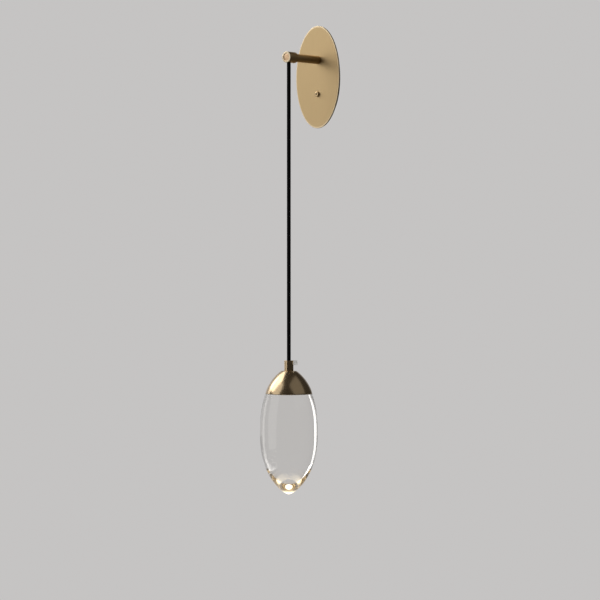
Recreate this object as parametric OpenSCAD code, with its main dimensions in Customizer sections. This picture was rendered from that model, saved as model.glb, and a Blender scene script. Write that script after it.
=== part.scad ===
// Wall lamp: an oval brass plate on the wall carries a short round arm, and a solid crystal drop
// with a brass cap hangs from the arm's head on a black textile cord.
// Millimetres, +Z up. The wall is the plane y = 0 and the lamp stands out of it towards -Y.
// The origin is on the wall, behind the centre of the plate.

/* [Wall plate] */
// Height of the oval plate
plate_h = 150; // [135:1:190]
// Width of the oval plate
plate_w = 82; // [76:1:110]
// Thickness of the plate
plate_t = 2.5; // [2:0.5:5]
// Chamfer round the plate's edges
plate_edge = 0.6; // [0.2:0.1:0.9]
// From the wall to the back of the plate
standoff = 20; // [19:0.5:26]
// Distance between the arm and the lower screw
fixing_pitch = 50; // [48:1:58]

/* [Back box] */
// How far the oval box behind the plate runs past each end of the strap
box_past = 9; // [8.5:0.5:12]
// Width of that box
box_w = 50; // [50:1:62]
// Sheet thickness of the box
box_wall = 1.2; // [0.8:0.1:1.6]

/* [Wall strap] */
// Sheet thickness of the strap
strap_t = 2; // [1.5:0.1:2.5]
// How far the strap runs past the middle of each wall slot
strap_past = 9; // [8:0.5:9.5]
// Width of the strap's ends
strap_w = 18; // [14:1:20]
// Height of the wide middle of the strap
web_h = 60; // [54:1:60]
// Width of the wide middle of the strap
web_w = 40; // [39:0.5:40]
// Corner radius of the strap
strap_corner = 4; // [3:0.5:5]
// Distance between the two wall slots
slot_pitch = 80; // [77:1:83]
// Width of a wall slot
slot_w = 5; // [4:0.5:6]
// Length of a wall slot
slot_l = 9; // [7:0.5:10]
// Width of the two bent tabs that carry the plate
tab_w = 16; // [15:0.2:16.2]
// Height of each tab's shelf above or below the middle
shelf_z = 12; // [10:0.5:12]
// How far each tab runs past its fixing
tab_past = 9; // [7:0.5:9]
// Inside radius of the bends
bend_r = 1; // [0.5:0.1:1.5]

/* [Arm] */
// From the front of the plate to the end face of the head
arm_reach = 71; // [55:1:120]
// Diameter of the arm tube
arm_d = 12; // [11.5:0.1:13]
// Bore of the arm tube
arm_bore = 6.5; // [6:0.1:7]
// Diameter of the threaded root of the arm
root_d = 10; // [9.5:0.1:10]
// Length of root behind the plate
root_len = 10.5; // [9.5:0.5:12]
// Diameter of the head
head_d = 16; // [15:0.5:20]
// Length of the head
head_len = 18; // [17:0.5:24]
// Chamfer on the head's edges
head_edge = 0.7; // [0.2:0.1:1]
// Diameter of the hollow in the head
hollow_d = 11; // [10.5:0.1:11.4]
// Thickness of the head's end wall
head_end = 1.8; // [1:0.1:1.8]
// Depth of the socket that takes the tube
socket_depth = 7; // [5:0.5:7]
// From the end face of the head to the axis of the cord
cord_inset = 5.8; // [5.8:0.1:6.4]
// Across flats of both nuts
nut_af = 14; // [13.5:0.1:14.5]
// Thickness of both nuts
nut_t = 4; // [3:0.5:4.5]
// Diameter of the root washer
washer_d = 17; // [17:0.1:17.5]
// Thickness of the root washer
washer_t = 1; // [0.8:0.1:1.5]

/* [Lower screw] */
// Diameter of the screw's head
screw_head_d = 7.8; // [7:0.1:9]
// Height of the screw's head
screw_head_h = 3; // [2.5:0.1:4]
// Rounding of the head's edge
screw_round = 1.2; // [0.5:0.1:1.6]
// Thread diameter
screw_d = 4; // [3:0.1:5]
// Thread length under the head
screw_len = 9; // [7:0.5:12]
// Across flats of the hexagon socket
socket_af = 2.5; // [2:0.1:3]
// Depth of the socket
socket_deep = 1.7; // [1:0.1:2]

/* [Cord] */
// Diameter of the textile cord
cord_d = 5.6; // [4.8:0.1:5.7]
// Free length of cord between the head and the neck
drop = 431; // [200:1:800]
// From the head down to the place where the cord bends
bend_drop = 2; // [2:0.1:3]
// Outer diameter of the crimped ferrule in the head
ferrule_d = 7.8; // [7.6:0.1:7.8]
// Height of the ferrule
ferrule_h = 2.5; // [2:0.1:2.6]
// Diameter of one insulated core
core_d = 2; // [1.6:0.1:2]

/* [Neck] */
// Diameter of the neck
neck_d = 13.5; // [13:0.1:15]
// Height of the neck
neck_h = 15; // [12:0.5:20]
// Chamfer on the neck's edges
neck_edge = 0.5; // [0.2:0.1:0.8]
// Diameter of the threaded nipple under the neck
nipple_d = 10; // [9.5:0.1:10.5]
// Diameter of the clear thumb screw's thread
grip_d = 4; // [3:0.1:4.2]
// Diameter of the thumb screw's head
grip_head_d = 6.6; // [5.5:0.1:6.8]
// Length of the thumb screw's head
grip_head_l = 5.4; // [3:0.1:7]
// From the top of the neck down to the thumb screw
grip_down = 3.4; // [3:0.1:5]
// Width of the slot in the thumb screw
grip_slot = 1; // [0.8:0.1:1.2]
// The way the thumb screw faces, in degrees about the cord
grip_turn = 40; // [0:5:180]

/* [Cap and crystal] */
// Widest diameter of the crystal
crystal_d = 84; // [72:1:100]
// From the top of the cap up to where the outline would close
egg_close = 5; // [4.6:0.2:9]
// From the widest level down to the tip
egg_down = 90.6; // [70:0.2:120]
// From the widest level up to the cap's rim
rim_up = 56.6; // [46:0.2:66]
// Height of the cap
cap_h = 32.6; // [31.4:0.2:40]
// Wall thickness of the cap
cap_wall = 1.6; // [1:0.1:1.8]
// Height of the threaded land inside the cap's rim
land_h = 7; // [5:0.5:7]
// How far that land stands in from the cap's inner wall
land_in = 0.8; // [0.5:0.1:1.5]
// Wall of the threaded collar on the crystal
collar_wall = 2.8; // [1.5:0.1:3.5]
// How far the crystal's top edge stands proud of the cap
crystal_proud = 0.5; // [0.2:0.1:1]
// Thickness of the clear gasket under the rim
gasket_t = 0.6; // [0.4:0.1:1]
// Flat ground on the crystal's tip, as a share of its height
tip_flat = 0.004; // [0.002:0.001:0.02]

/* [Light source] */
// Gap between the heat sink's disc and the cap's wall
sink_gap = 1.5; // [1:0.1:4]
// Thickness of the disc
sink_t = 3; // [2.4:0.1:3.2]
// Height of the disc above the rim
sink_up = 12; // [11.4:0.1:12.2]
// Gap between the fins and the cap's wall
fin_gap = 2.7; // [1.5:0.1:6]
// Height of the fins
fin_h = 5; // [2:0.5:5.5]
// Number of fins
fin_count = 16; // [8:2:20]
// Thickness of a fin
fin_t = 1.2; // [0.8:0.1:1.6]
// Radius of the boss that screws on the nipple
boss_r = 8; // [7:0.1:8.4]
// Height of the boss above the disc
boss_h = 9; // [7:0.1:9.2]
// Height of the way for the leads under the nipple
lead_way = 3; // [2.6:0.1:3.4]
// Radius of the circuit board
board_r = 14; // [13.6:0.1:16]
// Thickness of the circuit board
board_t = 1.6; // [1:0.1:2]
// Radius of the light-emitting disc
emitter_r = 5.5; // [4:0.1:5.6]
// Thickness of that disc
emitter_t = 1; // [0.6:0.1:1.2]
// Outer radius of the reflector
reflector_r = 9.5; // [8.5:0.1:9.5]
// Height of the reflector
reflector_h = 3.2; // [2:0.1:3.4]

/* [Wiring] */
// Width of the driver
driver_w = 12.6; // [11:0.2:12.6]
// Depth of the driver
driver_depth = 13; // [10:0.5:13.5]
// Height of the driver
driver_h = 44; // [38:1:44]
// Wall of the driver's case
driver_wall = 1.2; // [0.8:0.1:1.5]
// Thickness of the driver's cover
driver_lid = 1.4; // [1:0.1:2]
// Width of the terminal block
block_w = 12.4; // [12:0.1:12.8]
// Depth of the terminal block
block_depth = 11; // [10:0.5:13]
// Height of the terminal block
block_h = 17; // [16:0.5:20]
// Distance between its two poles
pole_pitch = 6; // [5.4:0.1:6.4]
// Bore of the grommet for the supply cable
grommet_bore = 8.4; // [6:0.1:9]
// Hole in the strap for the grommet
grommet_hole = 12; // [11:0.1:12.4]
// Diameter of the grommet's flange
grommet_flange = 15.2; // [14:0.1:15.4]
// Length of the grommet
grommet_len = 4; // [3.5:0.5:6]
// Diameter of the mains leads
lead_d = 1.8; // [1.4:0.1:2]
// How far below the middle the inner lead's loop runs
lead_dip = 28.5; // [27.5:0.5:29]
// How much deeper the outer lead's loop runs
lead_apart = 2.5; // [2.2:0.1:2.8]
// Diameter of the earth screw
earth_d = 4; // [3:0.1:4]

/* [Clearances] */
// Radial play of a screw, thread or pipe in its hole
play = 0.1; // [0.05:0.05:0.15]
// Gap between things that move past each other
run_gap = 0.3; // [0.25:0.05:0.4]

/* [Hidden] */
$fn = 64;

// The strap reaches past its slots, and the box past the strap
strap_h = slot_pitch + 2 * strap_past;
box_h = strap_h + 2 * box_past;

// Places along the way out of the wall, as distances from it
plate_front = standoff + plate_t;
tab_face = standoff - box_wall;
tab_back = tab_face - strap_t;
head_face = plate_front + arm_reach;
head_back = head_face - head_len;
tube_end = head_back + socket_depth;
hollow_end = head_face - head_end;
cord_out = head_face - cord_inset;
root_tip = standoff - root_len;

// Heights
arm_z = fixing_pitch / 2;
screw_z = -fixing_pitch / 2;
head_under = arm_z - head_d / 2;
bend_z = head_under - bend_drop;
neck_top = head_under - drop;
cap_top = neck_top - neck_h;
rim = cap_top - cap_h;
widest = rim - rim_up;
grip_z = neck_top - grip_down;
tip = widest - egg_down * (1 - tip_flat);

// The outline that cap and crystal share: full above its widest level, and drawn in to a blunt tip below
egg_up = rim_up + cap_h + egg_close;
function egg_radius(z) =
  let (above = z > widest, t = abs(z - widest) / (above ? egg_up : egg_down))
  crystal_d / 2 * pow(1 - pow(t, 2.4), above ? 0.65 : 0.7);

// Head and cord
cord_r = cord_d / 2;
exit_r = cord_r + 0.4;
mouth = 0.7;
ferrule_r = ferrule_d / 2;
ferrule_base = arm_z - sqrt(pow(hollow_d / 2, 2) - pow(ferrule_r, 2)) + play;
ferrule_top = ferrule_base + ferrule_h;

// Neck and light source
neck_bore_r = cord_r + run_gap;
nipple_r = nipple_d / 2;
cord_end = cap_top - 12;
land_r = egg_radius(rim + land_h) - cap_wall - land_in;
collar_r = land_r - play;
spigot_r = collar_r - collar_wall;
shoulder = rim - gasket_t;
spigot_top = rim + land_h - 1;
sink_base = rim + sink_up;
sink_top = sink_base + sink_t;
sink_r = egg_radius(sink_top) - cap_wall - sink_gap;
fin_r = egg_radius(sink_top + fin_h) - cap_wall - fin_gap;
nipple_tip = sink_top + lead_way;
board_base = sink_base - board_t;
emitter_base = board_base - emitter_t;
lead_hole_r = 2.6;
lead_hole_y = boss_r + lead_hole_r + 0.4;
led_screw_r = 1.25;
led_screw_head_r = 1.8;
led_screw_head_h = 1.4;
led_screw_x = reflector_r + led_screw_head_r + 0.2;

// Wiring space
driver_x = -(tab_w / 2 + 0.6) - driver_w / 2;
driver_y = strap_t + driver_depth / 2;
block_x = 9 + block_w / 2;
pole_y = strap_t + 4;
lead_start = 1.1;
lead_loop_y = pole_y;
pole_r = 2.1;
wire_bore_r = 1.3;
pole_screw_r = 1.15;
pole_screw_head_r = 1.6;
pole_screw_z = 4;
earth_x = 14.6;
earth_z = 21;

// Points on the shared outline from one height to another, closer together towards the second
function egg_side(from, to, n, inset = 0) =
  [for (i = [0:n]) let (z = from + (to - from) * sin(90 * i / n)) [egg_radius(z) - inset, z]];

function backwards(list) = [for (i = [len(list) - 1:-1:0]) list[i]];

function arc(centre, r, from, to, n = 8) =
  [for (i = [0:n]) let (a = from + (to - from) * i / n) centre + r * [cos(a), sin(a)]];

function oval(w, h, n = 120) = [for (i = [0:n - 1]) [w / 2 * cos(360 * i / n), h / 2 * sin(360 * i / n)]];

function rounded_sheet(w, h, r) = let (x = w / 2 - r, y = h / 2 - r) concat(
  arc([x, y], r, 0, 90),
  arc([-x, y], r, 90, 180),
  arc([-x, -y], r, 180, 270),
  arc([x, -y], r, 270, 360)
);

// A path with its corners rounded and its ends kept
function round_once(p) = concat(
  [p[0]],
  [for (i = [0:len(p) - 2], k = [0.25, 0.75]) p[i] + (p[i + 1] - p[i]) * k],
  [p[len(p) - 1]]
);
function rounded(p, times = 2) = times == 0 ? p : rounded(round_once(p), times - 1);

// Directions along a path, and a side direction that is carried along it without twist
function unit(v) = v / norm(v);
function heading(p, i) = unit(p[min(i + 1, len(p) - 1)] - p[max(i - 1, 0)]);
function carried(p, side, i = 0) =
  i >= len(p) ? [] :
  let (t = heading(p, i), s = unit(side - (side * t) * t)) concat([s], carried(p, s, i + 1));
function beside(p, side, by) = let (s = carried(p, side)) [for (i = [0:len(p) - 1]) p[i] + by * s[i]];

// A round tube swept along a path, with its ends square to the path
module swept(path, d, side, sides = 8) {
  s = carried(path, side);
  last = len(path) - 1;
  points = [
    for (i = [0:last], k = [0:sides - 1])
      let (a = 360 * k / sides) path[i] + d / 2 * (cos(a) * s[i] + sin(a) * cross(heading(path, i), s[i]))
  ];
  walls = [
    for (i = [0:last - 1], k = [0:sides - 1])
      let (a = i * sides + k, b = i * sides + (k + 1) % sides)
        each [[a, a + sides, b], [b, a + sides, b + sides]]
  ];
  ends = [[for (k = [0:sides - 1]) k], [for (k = [sides - 1:-1:0]) last * sides + k]];
  polyhedron(points, concat(walls, ends), convexity = 6);
}

// Two insulated cores side by side along one path
module core_pair(path, side) for (end = [-1, 1]) color(end > 0 ? "sienna" : "steelblue")
  swept(beside(path, side, end * (core_d / 2 + 0.05)), core_d, side);

// Children are drawn with +Z leading out of the wall, at a height on it
module outward(z = 0) translate([0, 0, z]) rotate([90, 0, 0]) children();

// A sheet parallel to the wall, between two distances from it
module sheet(points, a, b) outward() translate([0, 0, a]) linear_extrude(b - a) polygon(points);

// A rod square to the wall, between two distances from it
module rod_out(r, a, b, x = 0, z = 0) translate([x, 0, 0]) outward(z) translate([0, 0, a])
  cylinder(r = r, h = b - a);

// An outline in distance from the wall and height, given a width along X
module side_view(width) rotate([90, 0, -90]) linear_extrude(width, center = true) children();

// Children are drawn on the axis of the hanging cord
module at_cord(z = 0) translate([0, -cord_out, z]) children();

// A turned pin with both edges chamfered
module turned(r, h, edge) rotate_extrude()
  polygon([[0, 0], [r - edge, 0], [r, edge], [r, h - edge], [r - edge, h], [0, h]]);

module hex_nut(bore_r) difference() {
  corner_r = nut_af / sqrt(3);
  intersection() {
    rotate(30) cylinder(r = corner_r, h = nut_t, $fn = 6);
    turned(corner_r + 0.01, nut_t, 0.6);
  }
  translate([0, 0, -1]) cylinder(r = bore_r, h = nut_t + 2);
}

// Wall side

// A tab that is cut from the strap and bent out to the back box, then up or down past its fixing
module strap_tab(fixing_z) {
  up = fixing_z > 0 ? 1 : -1;
  outer_r = bend_r + strap_t;
  centre = [tab_face - outer_r, outer_r];
  reach = abs(fixing_z) + tab_past - shelf_z;
  mirror([0, 0, up > 0 ? 0 : 1]) translate([0, 0, shelf_z]) side_view(tab_w) polygon(concat(
    [[strap_t / 2, 0]],
    arc(centre, outer_r, -90, 0),
    [[tab_face, reach], [tab_back, reach]],
    arc(centre, bend_r, 0, -90),
    [[strap_t / 2, strap_t]]
  ));
}

module wall_slot(z) {
  straight = slot_l - slot_w;
  for (end = [-1, 1]) rod_out(slot_w / 2, -1, strap_t + 1, z = z + end * straight / 2);
  translate([-slot_w / 2, -strap_t - 1, z - straight / 2]) cube([slot_w, strap_t + 2, straight]);
}

module wall_strap() color("silver") difference() {
  root_r = root_d / 2 + 2 * play;
  union() {
    sheet(rounded_sheet(web_w, web_h, strap_corner), 0, strap_t);
    sheet(rounded_sheet(strap_w, strap_h, strap_corner), 0, strap_t);
    strap_tab(arm_z);
    strap_tab(screw_z);
  }
  for (end = [-1, 1]) wall_slot(end * slot_pitch / 2);
  rod_out(grommet_hole / 2, -1, strap_t + 1);
  rod_out(earth_d / 2, -1, strap_t + 1, x = earth_x, z = earth_z);
  rod_out(screw_d / 2, tab_back - 1, tab_face + 1, z = screw_z);
  rod_out(root_r, tab_back - 1, tab_face + 1, z = arm_z);
  translate([-root_r, -tab_face - 1, arm_z]) cube([2 * root_r, strap_t + 2, tab_past + 1]);
}

module back_box() color("dimgray") difference() {
  sheet(oval(box_w, box_h), 0, standoff);
  sheet(oval(box_w - 2 * box_wall, box_h - 2 * box_wall), -1, tab_face);
  rod_out(root_d / 2 + play, tab_face - 1, standoff + 1, z = arm_z);
  rod_out(screw_d / 2 + play, tab_face - 1, standoff + 1, z = screw_z);
}

module wall_plate() color("burlywood") difference() {
  hull() {
    sheet(oval(plate_w, plate_h), standoff + plate_edge, plate_front - plate_edge);
    sheet(oval(plate_w - 2 * plate_edge, plate_h - 2 * plate_edge), standoff, plate_front);
  }
  rod_out(root_d / 2 + play, standoff - 1, plate_front + 1, z = arm_z);
  rod_out(screw_d / 2 + play, standoff - 1, plate_front + 1, z = screw_z);
}

module arm_tube() color("goldenrod") outward(arm_z) rotate_extrude() polygon([
  [arm_bore / 2, root_tip], [root_d / 2, root_tip], [root_d / 2, plate_front],
  [arm_d / 2, plate_front], [arm_d / 2, tube_end], [arm_bore / 2, tube_end]
]);

module arm_head() color("goldenrod") difference() {
  outward(arm_z) translate([0, 0, head_back]) turned(head_d / 2, head_len, head_edge);
  rod_out(arm_d / 2 + play, head_back - 1, tube_end, z = arm_z);
  rod_out(hollow_d / 2, tube_end - 1, hollow_end, z = arm_z);
  at_cord(head_under - 1) cylinder(r = exit_r, h = head_d / 2);
  at_cord(head_under) cylinder(r1 = exit_r + mouth, r2 = exit_r, h = mouth);
}

module root_washer() color("silver") difference() {
  rod_out(washer_d / 2, tab_back - washer_t, tab_back, z = arm_z);
  rod_out(root_d / 2 + 2 * play, tab_back - washer_t - 1, tab_back + 1, z = arm_z);
}

module root_nut() color("silver") outward(arm_z) translate([0, 0, tab_back - washer_t - nut_t])
  hex_nut(root_d / 2 + play / 2);

module plate_screw() color("goldenrod") outward(screw_z) difference() {
  thread_r = (screw_d - play) / 2;
  head_top = plate_front + screw_head_h;
  rotate_extrude() polygon(concat(
    [[0, plate_front - screw_len], [thread_r, plate_front - screw_len], [thread_r, plate_front]],
    [[screw_head_d / 2, plate_front]],
    arc([screw_head_d / 2 - screw_round, head_top - screw_round], screw_round, 0, 90),
    [[0, head_top]]
  ));
  translate([0, 0, head_top - socket_deep]) cylinder(r = socket_af / sqrt(3), h = socket_deep + 1, $fn = 6);
}

module cable_grommet() color("dimgray") outward() rotate_extrude() polygon([
  [grommet_bore / 2, 0], [grommet_hole / 2, 0], [grommet_hole / 2, strap_t],
  [grommet_flange / 2, strap_t], [grommet_flange / 2 - 0.6, grommet_len], [grommet_bore / 2, grommet_len]
]);

// The block's two poles, and its four screw places
module poles() for (side = [-1, 1]) translate([block_x + side * pole_pitch / 2, -pole_y, 0]) children();
module pole_screw_places() for (side = [-1, 1], end = [-1, 1])
  translate([block_x + side * pole_pitch / 2, 0, end * pole_screw_z]) children();

module terminal_block() color("ivory") difference() {
  translate([block_x - block_w / 2, -strap_t - block_depth, -block_h / 2])
    cube([block_w, block_depth, block_h]);
  poles() cylinder(r = pole_r, h = block_h + 2, center = true);
  pole_screw_places() rod_out(pole_screw_head_r + play, pole_y, strap_t + block_depth + 1);
}

module terminal_inserts() color("gold") difference() {
  poles() cylinder(r = pole_r - play / 2, h = block_h - 3, center = true);
  poles() cylinder(r = wire_bore_r, h = block_h, center = true);
  pole_screw_places() rod_out(pole_screw_r + play / 2, pole_y, pole_y + pole_r + 1);
}

module terminal_screws() color("silver") pole_screw_places() difference() {
  seat = pole_y + pole_r + 1;
  union() {
    rod_out(pole_screw_r, pole_y + lead_d / 2 + 0.05, seat);
    rod_out(pole_screw_head_r, seat, seat + 1.5);
  }
  translate([-2, -seat - 2, -0.2]) cube([4, 1.2, 0.4]);
}

module earth_screw() color("gold") translate([earth_x, 0, earth_z]) outward() difference() {
  union() {
    translate([0, 0, 0.2]) cylinder(r = (earth_d - play) / 2, h = strap_t + 1);
    translate([0, 0, strap_t + 1]) turned(3.4, 2.4, 0.5);
  }
  translate([-4, -0.5, strap_t + 2.4]) cube([8, 1, 2]);
}

module earth_washer() color("silver") translate([earth_x, 0, earth_z]) difference() {
  rod_out(4.4, strap_t, strap_t + 1);
  rod_out((earth_d + play) / 2, strap_t - 1, strap_t + 2);
}

// A box within the driver, between two distances from the wall and inset from its four sides
module driver_box(a, b, inset = 0) translate([driver_x, -(a + b) / 2, 0])
  cube([driver_w - 2 * inset, b - a, driver_h - 2 * inset], center = true);

module driver_case() color("white") difference() {
  floor_y = strap_t + driver_wall;
  lid_y = strap_t + driver_depth - driver_lid;
  driver_box(strap_t, lid_y);
  driver_box(floor_y, lid_y + 1, driver_wall);
  for (end = [-1, 1]) translate([driver_x, -driver_y, end * driver_h / 2])
    cube([2 * core_d + 1, 2 * core_d + 1, 3 * driver_wall], center = true);
}

module driver_cover() color("whitesmoke")
  driver_box(strap_t + driver_depth - driver_lid, strap_t + driver_depth);

module driver_board() color("seagreen") {
  back = strap_t + driver_wall;
  front = back + 1.2;
  driver_box(back, front, driver_wall + 0.3);
  translate([driver_x - 3.6, -front - 5, 3]) cube([7.2, 5, 8.5]);
  translate([driver_x, -front - 2.6, -10]) cylinder(r = 2.6, h = 8);
  translate([driver_x - 2.5, -front - 4, -16]) cube([5, 4, 3.5]);
}

// Two insulated leads loop from the foot of the driver under the middle and up into the block.
// One runs inside the other, so the outer one starts nearer to the box and goes deeper.
function mains_route(outer) =
  let (
    side = outer ? 1 : -1,
    dip = lead_dip + (outer ? lead_apart : 0),
    start_x = driver_x - side * lead_start,
    pole_x = block_x + side * pole_pitch / 2
  )
  rounded([
    [start_x, -driver_y, -driver_h / 2],
    [start_x, -driver_y, -dip + 3],
    [driver_x + 5, -lead_loop_y, -dip],
    [0, -lead_loop_y, -dip],
    [block_x - 2, -lead_loop_y, -dip],
    [pole_x, -pole_y, -dip + 4.8],
    [pole_x, -pole_y, -block_h / 2 - 3.5],
    [pole_x, -pole_y, -2]
  ]);

module mains_leads() {
  color("sienna") swept(mains_route(false), lead_d, [1, 0, 0]);
  color("steelblue") swept(mains_route(true), lead_d, [1, 0, 0]);
}

// The way of the cord's two cores from the driver through the arm to the ferrule in the head
core_route = rounded([
  [driver_x, -driver_y, driver_h / 2],
  [driver_x, -driver_y, driver_h / 2 + 3],
  [driver_x + 3, -6, arm_z + 3],
  [-4, -5, arm_z + 1],
  [0, -5, arm_z],
  [0, -root_tip - 1, arm_z],
  [0, -plate_front, arm_z],
  [0, -tube_end + 3, arm_z],
  [0, -tube_end - 1, arm_z + 1],
  [0, -cord_out + 1.6, arm_z + 3],
  [0, -cord_out, arm_z + 2.6],
  [0, -cord_out, ferrule_top + 0.6],
  [0, -cord_out, ferrule_top]
]);

module cord_cores() core_pair(core_route, [0, 1, 0]);

module cord_ferrule() color("silver") at_cord(ferrule_base) difference() {
  cylinder(r = ferrule_r, h = ferrule_h);
  translate([0, 0, -1]) cylinder(r = cord_r + play / 2, h = ferrule_h + 2);
}

// Cord

module cord_in_head() color("black") at_cord(bend_z + cord_r + run_gap)
  cylinder(r = cord_r, h = ferrule_top - bend_z - cord_r - run_gap);

// The short stretch below the head that bends as the pendant swings
module cord_bend() color("black") at_cord(bend_z) sphere(r = cord_r);

// The crystal pulls the hanging cord straight. Its points are about 2.5 diameters apart.
drop_top = bend_z - cord_r - run_gap;
drop_steps = ceil((drop_top - cord_end) / (2.5 * cord_d));
drop_route = [
  for (i = [0:drop_steps]) [0, -cord_out, drop_top + (cord_end - drop_top) * i / drop_steps]
];

module cord_drop() color("black") swept(drop_route, cord_d, [1, 0, 0], sides = 12);

// Neck

module cord_grip() color("goldenrod") difference() {
  union() {
    at_cord(cap_top) turned(neck_d / 2, neck_h, neck_edge);
    at_cord(nipple_tip) cylinder(r = nipple_r, h = cap_top - nipple_tip + 1);
  }
  at_cord(nipple_tip - 1) cylinder(r = neck_bore_r, h = neck_top - nipple_tip + 2);
  at_cord(grip_z) rotate([0, 90, grip_turn]) cylinder(r = (grip_d + play) / 2, h = neck_d);
}

module grip_screw() color("lightgray", 0.6) at_cord(grip_z) rotate([0, 90, grip_turn]) difference() {
  head = neck_d / 2 + 0.2;
  union() {
    translate([0, 0, neck_bore_r]) cylinder(r = grip_d / 2, h = head + 1 - neck_bore_r);
    translate([0, 0, head]) turned(grip_head_d / 2, grip_head_l, 0.4);
  }
  translate([-grip_head_d, -grip_slot / 2, head + grip_head_l - 1.2]) cube([2 * grip_head_d, grip_slot, 2]);
}

// Cap and what it holds

module cap_dome() color("goldenrod") at_cord() rotate_extrude() polygon(concat(
  egg_side(rim, cap_top, 24),
  [[nipple_r + play, cap_top], [nipple_r + play, cap_top - cap_wall]],
  backwards(egg_side(rim + land_h, cap_top - cap_wall, 18, inset = cap_wall)),
  [[land_r, rim + land_h], [land_r, rim]]
));

module cap_nut() color("silver") at_cord(cap_top - cap_wall - nut_t) hex_nut(nipple_r + play / 2);

module led_screw_places() for (side = [-1, 1]) translate([side * led_screw_x, 0, 0]) children();

module heat_sink() color("gainsboro") difference() {
  union() {
    at_cord(sink_base) cylinder(r = sink_r, h = sink_t);
    at_cord(sink_top) cylinder(r = boss_r, h = boss_h);
    for (i = [1:fin_count]) at_cord(sink_top) rotate(360 * (i - 0.5) / fin_count)
      translate([boss_r - 0.5, -fin_t / 2, -0.5]) cube([fin_r - boss_r + 0.5, fin_t, fin_h + 0.5]);
  }
  at_cord(sink_top) cylinder(r = nipple_r + play / 2, h = boss_h + 1);
  at_cord(sink_top) translate([-lead_hole_r, 0, 0]) cube([2 * lead_hole_r, boss_r + 0.4, lead_way]);
  at_cord(sink_top) translate([-lead_hole_r, boss_r, 0]) cube([2 * lead_hole_r, fin_r, fin_h + 1]);
  at_cord(sink_base - 1) translate([0, lead_hole_y, 0]) cylinder(r = lead_hole_r, h = sink_t + 2);
  led_screw_places() at_cord(sink_base - 1) cylinder(r = led_screw_r + play / 2, h = sink_t);
}

module led_board() color("white") difference() {
  at_cord(board_base) cylinder(r = board_r, h = board_t);
  led_screw_places() at_cord(board_base - 1) cylinder(r = led_screw_r + play, h = board_t + 2);
}

module led_emitter() color("khaki") at_cord(emitter_base) cylinder(r = emitter_r, h = emitter_t);

module led_screws() color("silver") led_screw_places() {
  at_cord(board_base - 0.5) cylinder(r = led_screw_r, h = board_t + sink_t - 0.8);
  at_cord(board_base - led_screw_head_h) cylinder(r = led_screw_head_r, h = led_screw_head_h);
}

module reflector() color("silver") at_cord(board_base - reflector_h) rotate_extrude() polygon([
  [emitter_r + play, reflector_h], [reflector_r - 0.8, 0], [reflector_r, 0], [reflector_r, reflector_h]
]);

led_route = rounded([
  [0, -cord_out, cord_end - run_gap],
  [0, -cord_out, nipple_tip],
  [0, -cord_out + 1, sink_top + lead_way / 2],
  [0, -cord_out + 3, sink_top + lead_way / 2],
  [0, -cord_out + boss_r, sink_top + lead_way / 2],
  [0, -cord_out + lead_hole_y, sink_top + lead_way / 2],
  [0, -cord_out + lead_hole_y, sink_base + 1],
  [0, -cord_out + lead_hole_y, sink_base]
]);

module led_leads() core_pair(led_route, [1, 0, 0]);

module crystal_collar() color("goldenrod") difference() {
  at_cord(shoulder) cylinder(r = collar_r, h = spigot_top - shoulder);
  at_cord(shoulder - 1) cylinder(r = spigot_r + play, h = spigot_top - shoulder + 2);
}

module rim_gasket() color("whitesmoke", 0.7) difference() {
  at_cord(shoulder) cylinder(r = egg_radius(rim) - 0.5, h = gasket_t);
  at_cord(shoulder - 1) cylinder(r = land_r, h = gasket_t + 2);
}

module crystal() color("lightcyan", 0.35) at_cord() rotate_extrude() polygon(concat(
  [[0, spigot_top], [spigot_r, spigot_top], [spigot_r, shoulder]],
  [[egg_radius(shoulder) + crystal_proud - 0.4, shoulder]],
  [[egg_radius(shoulder) + crystal_proud, shoulder - 0.4]],
  [for (i = [1:12]) let (z = shoulder + (widest - shoulder) * i / 12) [egg_radius(z), z]],
  egg_side(widest - 1, tip, 28),
  [[0, tip]]
));

wall_strap();
back_box();
wall_plate();
arm_tube();
arm_head();
root_washer();
root_nut();
plate_screw();
cable_grommet();
terminal_block();
terminal_inserts();
terminal_screws();
earth_screw();
earth_washer();
driver_case();
driver_cover();
driver_board();
mains_leads();
cord_cores();
cord_ferrule();
cord_in_head();
cord_bend();
cord_drop();
cord_grip();
grip_screw();
cap_dome();
cap_nut();
heat_sink();
led_board();
led_emitter();
led_screws();
reflector();
led_leads();
crystal_collar();
rim_gasket();
crystal();
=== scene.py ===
"""Looks of a wall lamp: an oval brass plate, a short arm and a crystal drop on a textile cord.

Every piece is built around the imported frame, in metres and in the frame's own axes: the lamp is
mounted on the plane y = 0 and stands out of it towards -Y, and +Z is up. Sizes are written in
millimetres and turned into metres where a mesh is made. A piece's distances along the arm count
from the mounting plane, and its heights from the middle of the plate.
"""

import logging
import math
from collections.abc import Iterable, Mapping
from dataclasses import dataclass
from enum import Enum

import bpy
from mathutils import Matrix, Vector


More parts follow.
